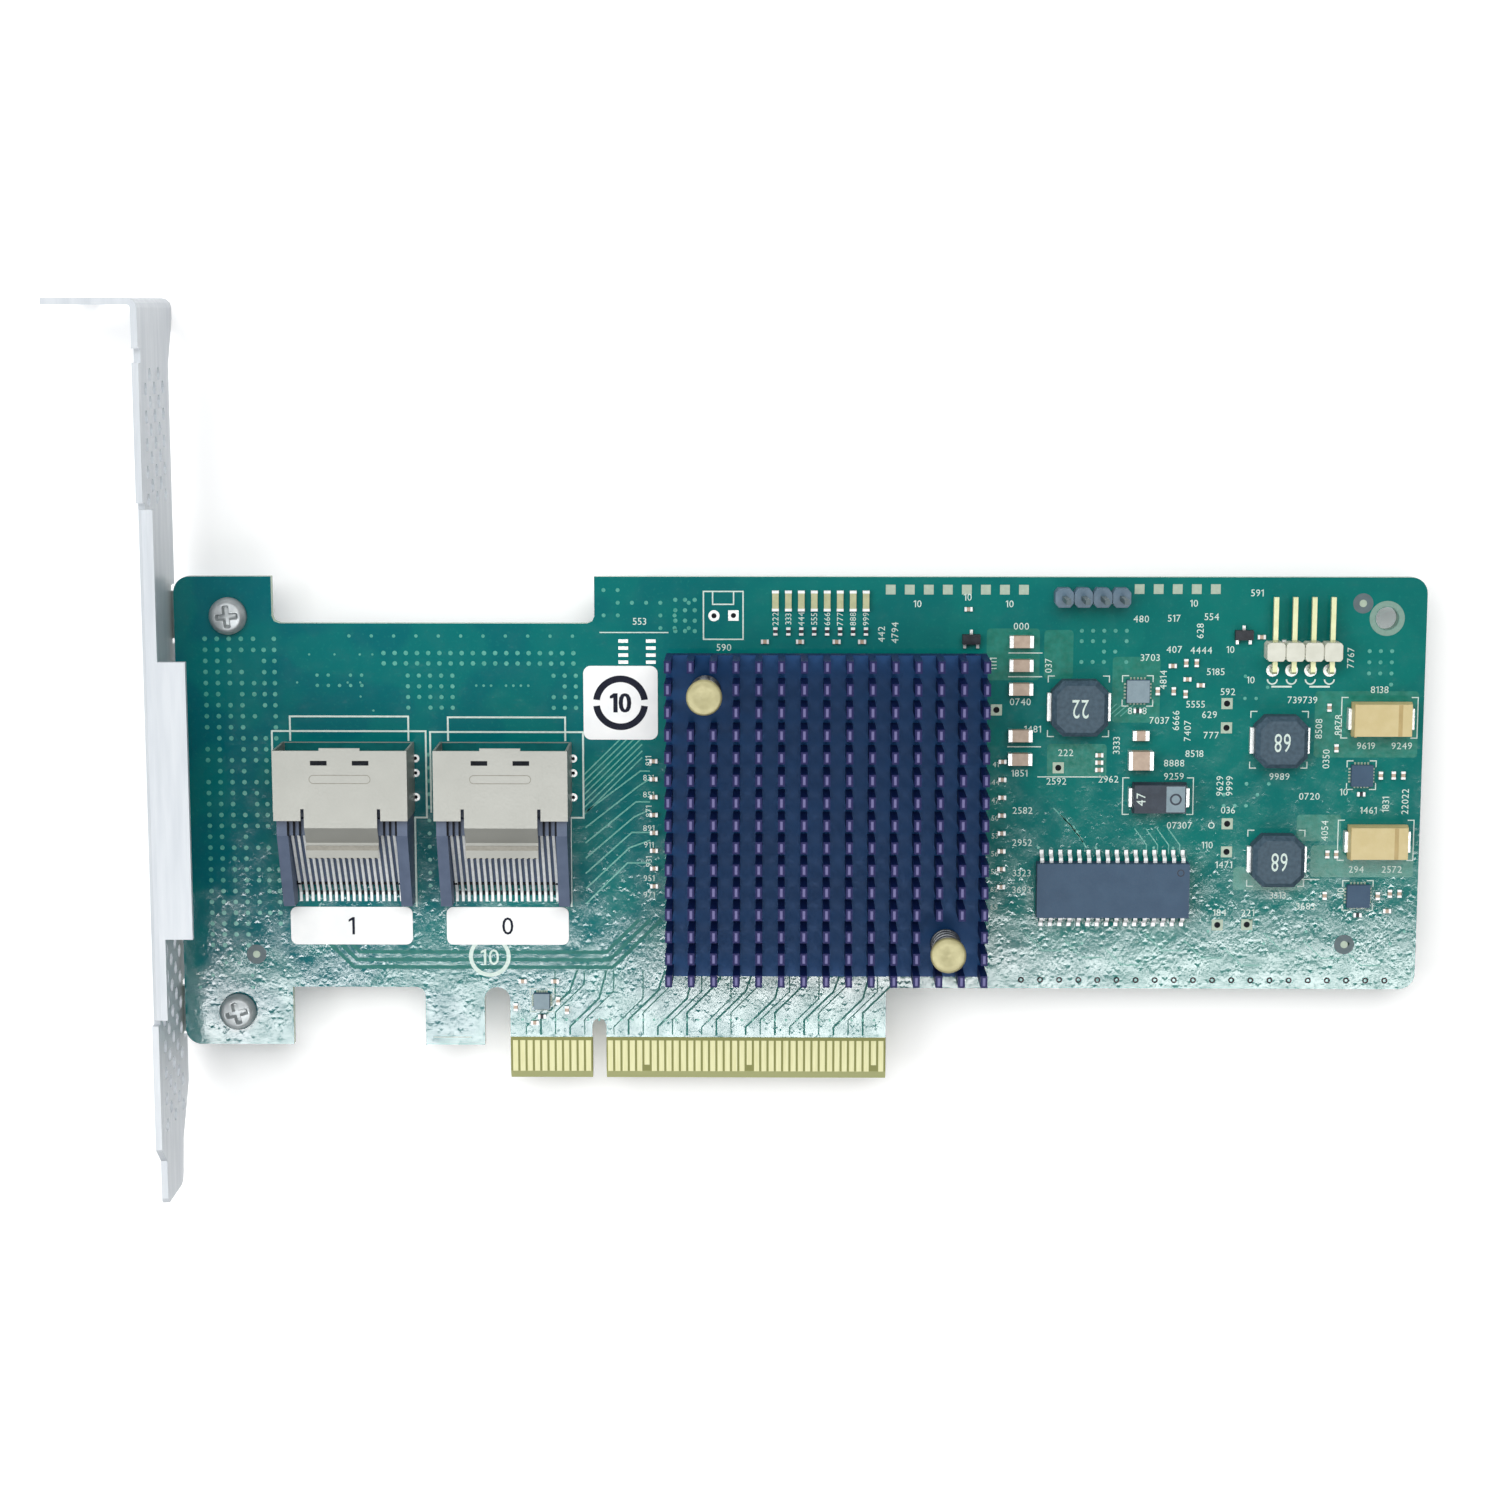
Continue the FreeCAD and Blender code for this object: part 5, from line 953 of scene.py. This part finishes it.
def header_blocks():
    """Each header's body: four blocks joined at their sides, with their corners cut. The angled one's
    blocks leave a neck between them; the other's are eight points in shares of half a block."""
    shape = Shape()
    low, high, _ = place("led_header_body")
    pitch, cut, neck = (high[0] - low[0]) / 4, 0.34, 0.12
    for i in range(4):
        x0, x1 = low[0] + i * pitch, low[0] + (i + 1) * pitch
        y0, y1 = low[1], high[1]
        shape.prism([(x0 + cut, y0), (x1 - cut, y0), (x1 - neck / 2, y0 + cut),
                     (x1 - neck / 2, y1 - cut), (x1 - cut, y1), (x0 + cut, y1),
                     (x0 + neck / 2, y1 - cut), (x0 + neck / 2, y0 + cut)], low[2], high[2])
        if i:
            shape.box((x0 - neck, y0 + 0.6, low[2]), (x0 + neck, y1 - 0.6, high[2] - 0.25))
    piece("led_header_blocks", shape, LOOK["natural"], bevel=0.06,
          replaces=["led_header_body"])
    shape = Shape()
    low, high, middle = place("service_header_body")
    pitch = (high[0] - low[0]) / 4
    octagon = np.array([(0.96, -0.55), (0.96, 0.55), (0.6, 1), (-0.6, 1), (-0.96, 0.55),
                        (-0.96, -0.55), (-0.6, -1), (0.6, -1)]) * (pitch / 2, (high[1] - low[1]) / 2)
    for i in range(4):
        x, y = low[0] + (i + 0.5) * pitch, middle[1]
        shape.prism(octagon + (x, y), low[2], high[2])
        if i:
            shape.block(x - pitch / 2, y, low[2], (0.3, 1.0, high[2] - low[2] - 0.2))
    piece("service_header_blocks", shape, LOOK["dark"], bevel=0.06,
          replaces=["service_header_body"])


def part_details():
    """Bands and marks on the moulded capacitors, and the chips' own marks."""
    band, pale, ring = Shape(), Shape(), Shape()
    print_z = 0.015
    for low, high in islands("tantalum_capacitors"):
        y, long = (low[1] + high[1]) / 2, high[1] - low[1]
        band.block(high[0] - 1.75, y, high[2], (0.55, long * 0.9, print_z))
        band.block(low[0] + 0.3, y, high[2] - 0.08, (0.35, long * 0.96, print_z))
    _, high, middle = place("polymer_capacitor")
    pale.block(high[0] - 1.6, middle[1], high[2], (2.5, 3.5, print_z))
    ring.ring(high[0] - 1.6, middle[1], 0.55, 0.8, high[2] + 0.025, 24)
    for low, high in islands("regulator_chips")[:2]:
        pale.block((low[0] + high[0]) / 2, (low[1] + high[1]) / 2, high[2],
                   (high[0] - low[0] - 0.1, high[1] - low[1] - 0.1, print_z))
    _, high, _ = place("memory_chip")
    ring.ring(high[0] - 1.2, high[1] - 1.2, 0.35, 0.5, high[2] + 0.012, 24)
    piece("tantalum_bands", band, LOOK["band"])
    piece("pale_moulding", pale, LOOK["pale"])
    piece("chip_marks", ring, LOOK["case"])


screw_heads()
push_pins()
springs()
solder_joints()
labels()
port_details()
board_copper()
silkscreen()
chip_parts()
gull_wings()
header_blocks()
part_details()


# ---- floor, light and camera ---------------------------------------------------------------------
def stage():
    """A pale floor at the card's lowest point. What rays from the camera, from gloss and through clear
    parts see of it is a little paler still, and none of that lights the card."""
    reach, paler = 3.0, 0.22
    x, y = reach * np.array([(-1, -1), (1, -1), (1, 1), (-1, 1)]).T
    mesh = bpy.data.meshes.new("floor")
    mesh.from_pydata(spread(x, y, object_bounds()[0][2]).tolist(), [], [(0, 1, 2, 3)])
    # a sheet of painted board: flat white, with a slow drift of tone and a soft roller grain
    finish = surface("floor_white", "#fbfbfb", "#f8f8f8", (0.7, 0.8), specular=0.2, size=80.0,
                     grain=5.0)
    tree = finish.node_tree
    seen = node(tree, "LightPath").node.outputs
    either = node(tree, "Math", operation="MAXIMUM", _0=seen["Is Glossy Ray"],
                  _1=seen["Is Transmission Ray"])
    shown = node(tree, "Math", operation="MAXIMUM", _0=seen["Is Camera Ray"], _1=either)
    fill(tree, tree.nodes["Principled BSDF"].inputs, Emission_Color=(1, 1, 1, 1),
         Emission_Strength=node(tree, "Math", operation="MULTIPLY", _0=shown, _1=paler))
    mesh.materials.append(finish)
    floor = bpy.data.objects.new("floor", mesh)
    bpy.context.scene.collection.objects.link(floor)
    floor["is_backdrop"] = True


def turn_to(thing, aim_mm):
    """Points a lamp or camera at a place, with the card's top edge towards the top of its view."""
    back = (thing.location - Vector(aim_mm) * MM).normalized()
    side = Vector((0, 1, 0)).cross(back).normalized()
    thing.rotation_euler = Matrix((side, back.cross(side), back)).transposed().to_euler()


def lamp(name, place_mm, aim_mm, size_mm, power, matt=True, swing=0):
    """A rectangular lamp, swung by some degrees in its own plane; without matt it shows in glossy
    surfaces only."""
    light = bpy.data.lights.new(name, "AREA")
    light.shape, light.size, light.size_y = "RECTANGLE", size_mm[0] * MM, size_mm[1] * MM
    light.energy = power
    made = bpy.data.objects.new(name, light)
    bpy.context.scene.collection.objects.link(made)
    made.location = Vector(place_mm) * MM
    made.visible_diffuse = matt
    turn_to(made, aim_mm)
    made.rotation_euler.rotate_axis("Z", math.radians(swing))


stage()
world = bpy.data.worlds.new("studio")
bpy.context.scene.world = world
world.use_nodes = True
fill(world.node_tree, world.node_tree.nodes["Background"].inputs, Color=(1, 1, 1, 1), Strength=0.2)
# The strip lamp's mirror image falls on the board's lower edge, seen from the camera.
MIDDLE = (24.5, 45, 0)
lamp("strip_lamp", (-9, -149, 600), (-9, -149, 0), (680, 50), 3.6, matt=False, swing=2.5)
lamp("top_softbox", (24.5, 420, 620), MIDDLE, (900, 450), 4.2)
lamp("low_softbox", (24.5, -480, 620), MIDDLE, (900, 400), 1.7)
lamp("left_softbox", (-560, 60, 520), (0, 45, 0), (400, 500), 2.3)

camera = bpy.data.objects.new("camera", bpy.data.cameras.new("camera"))
bpy.context.scene.collection.objects.link(camera)
camera.location = Vector((24.5, 104.6, 392)) * MM
turn_to(camera, (20.6, 45.5, 0))
camera.data.angle = math.radians(28.6)
camera.data.clip_start = 0.01
bpy.context.scene.camera = camera
bpy.context.scene.view_settings.view_transform = "Standard"
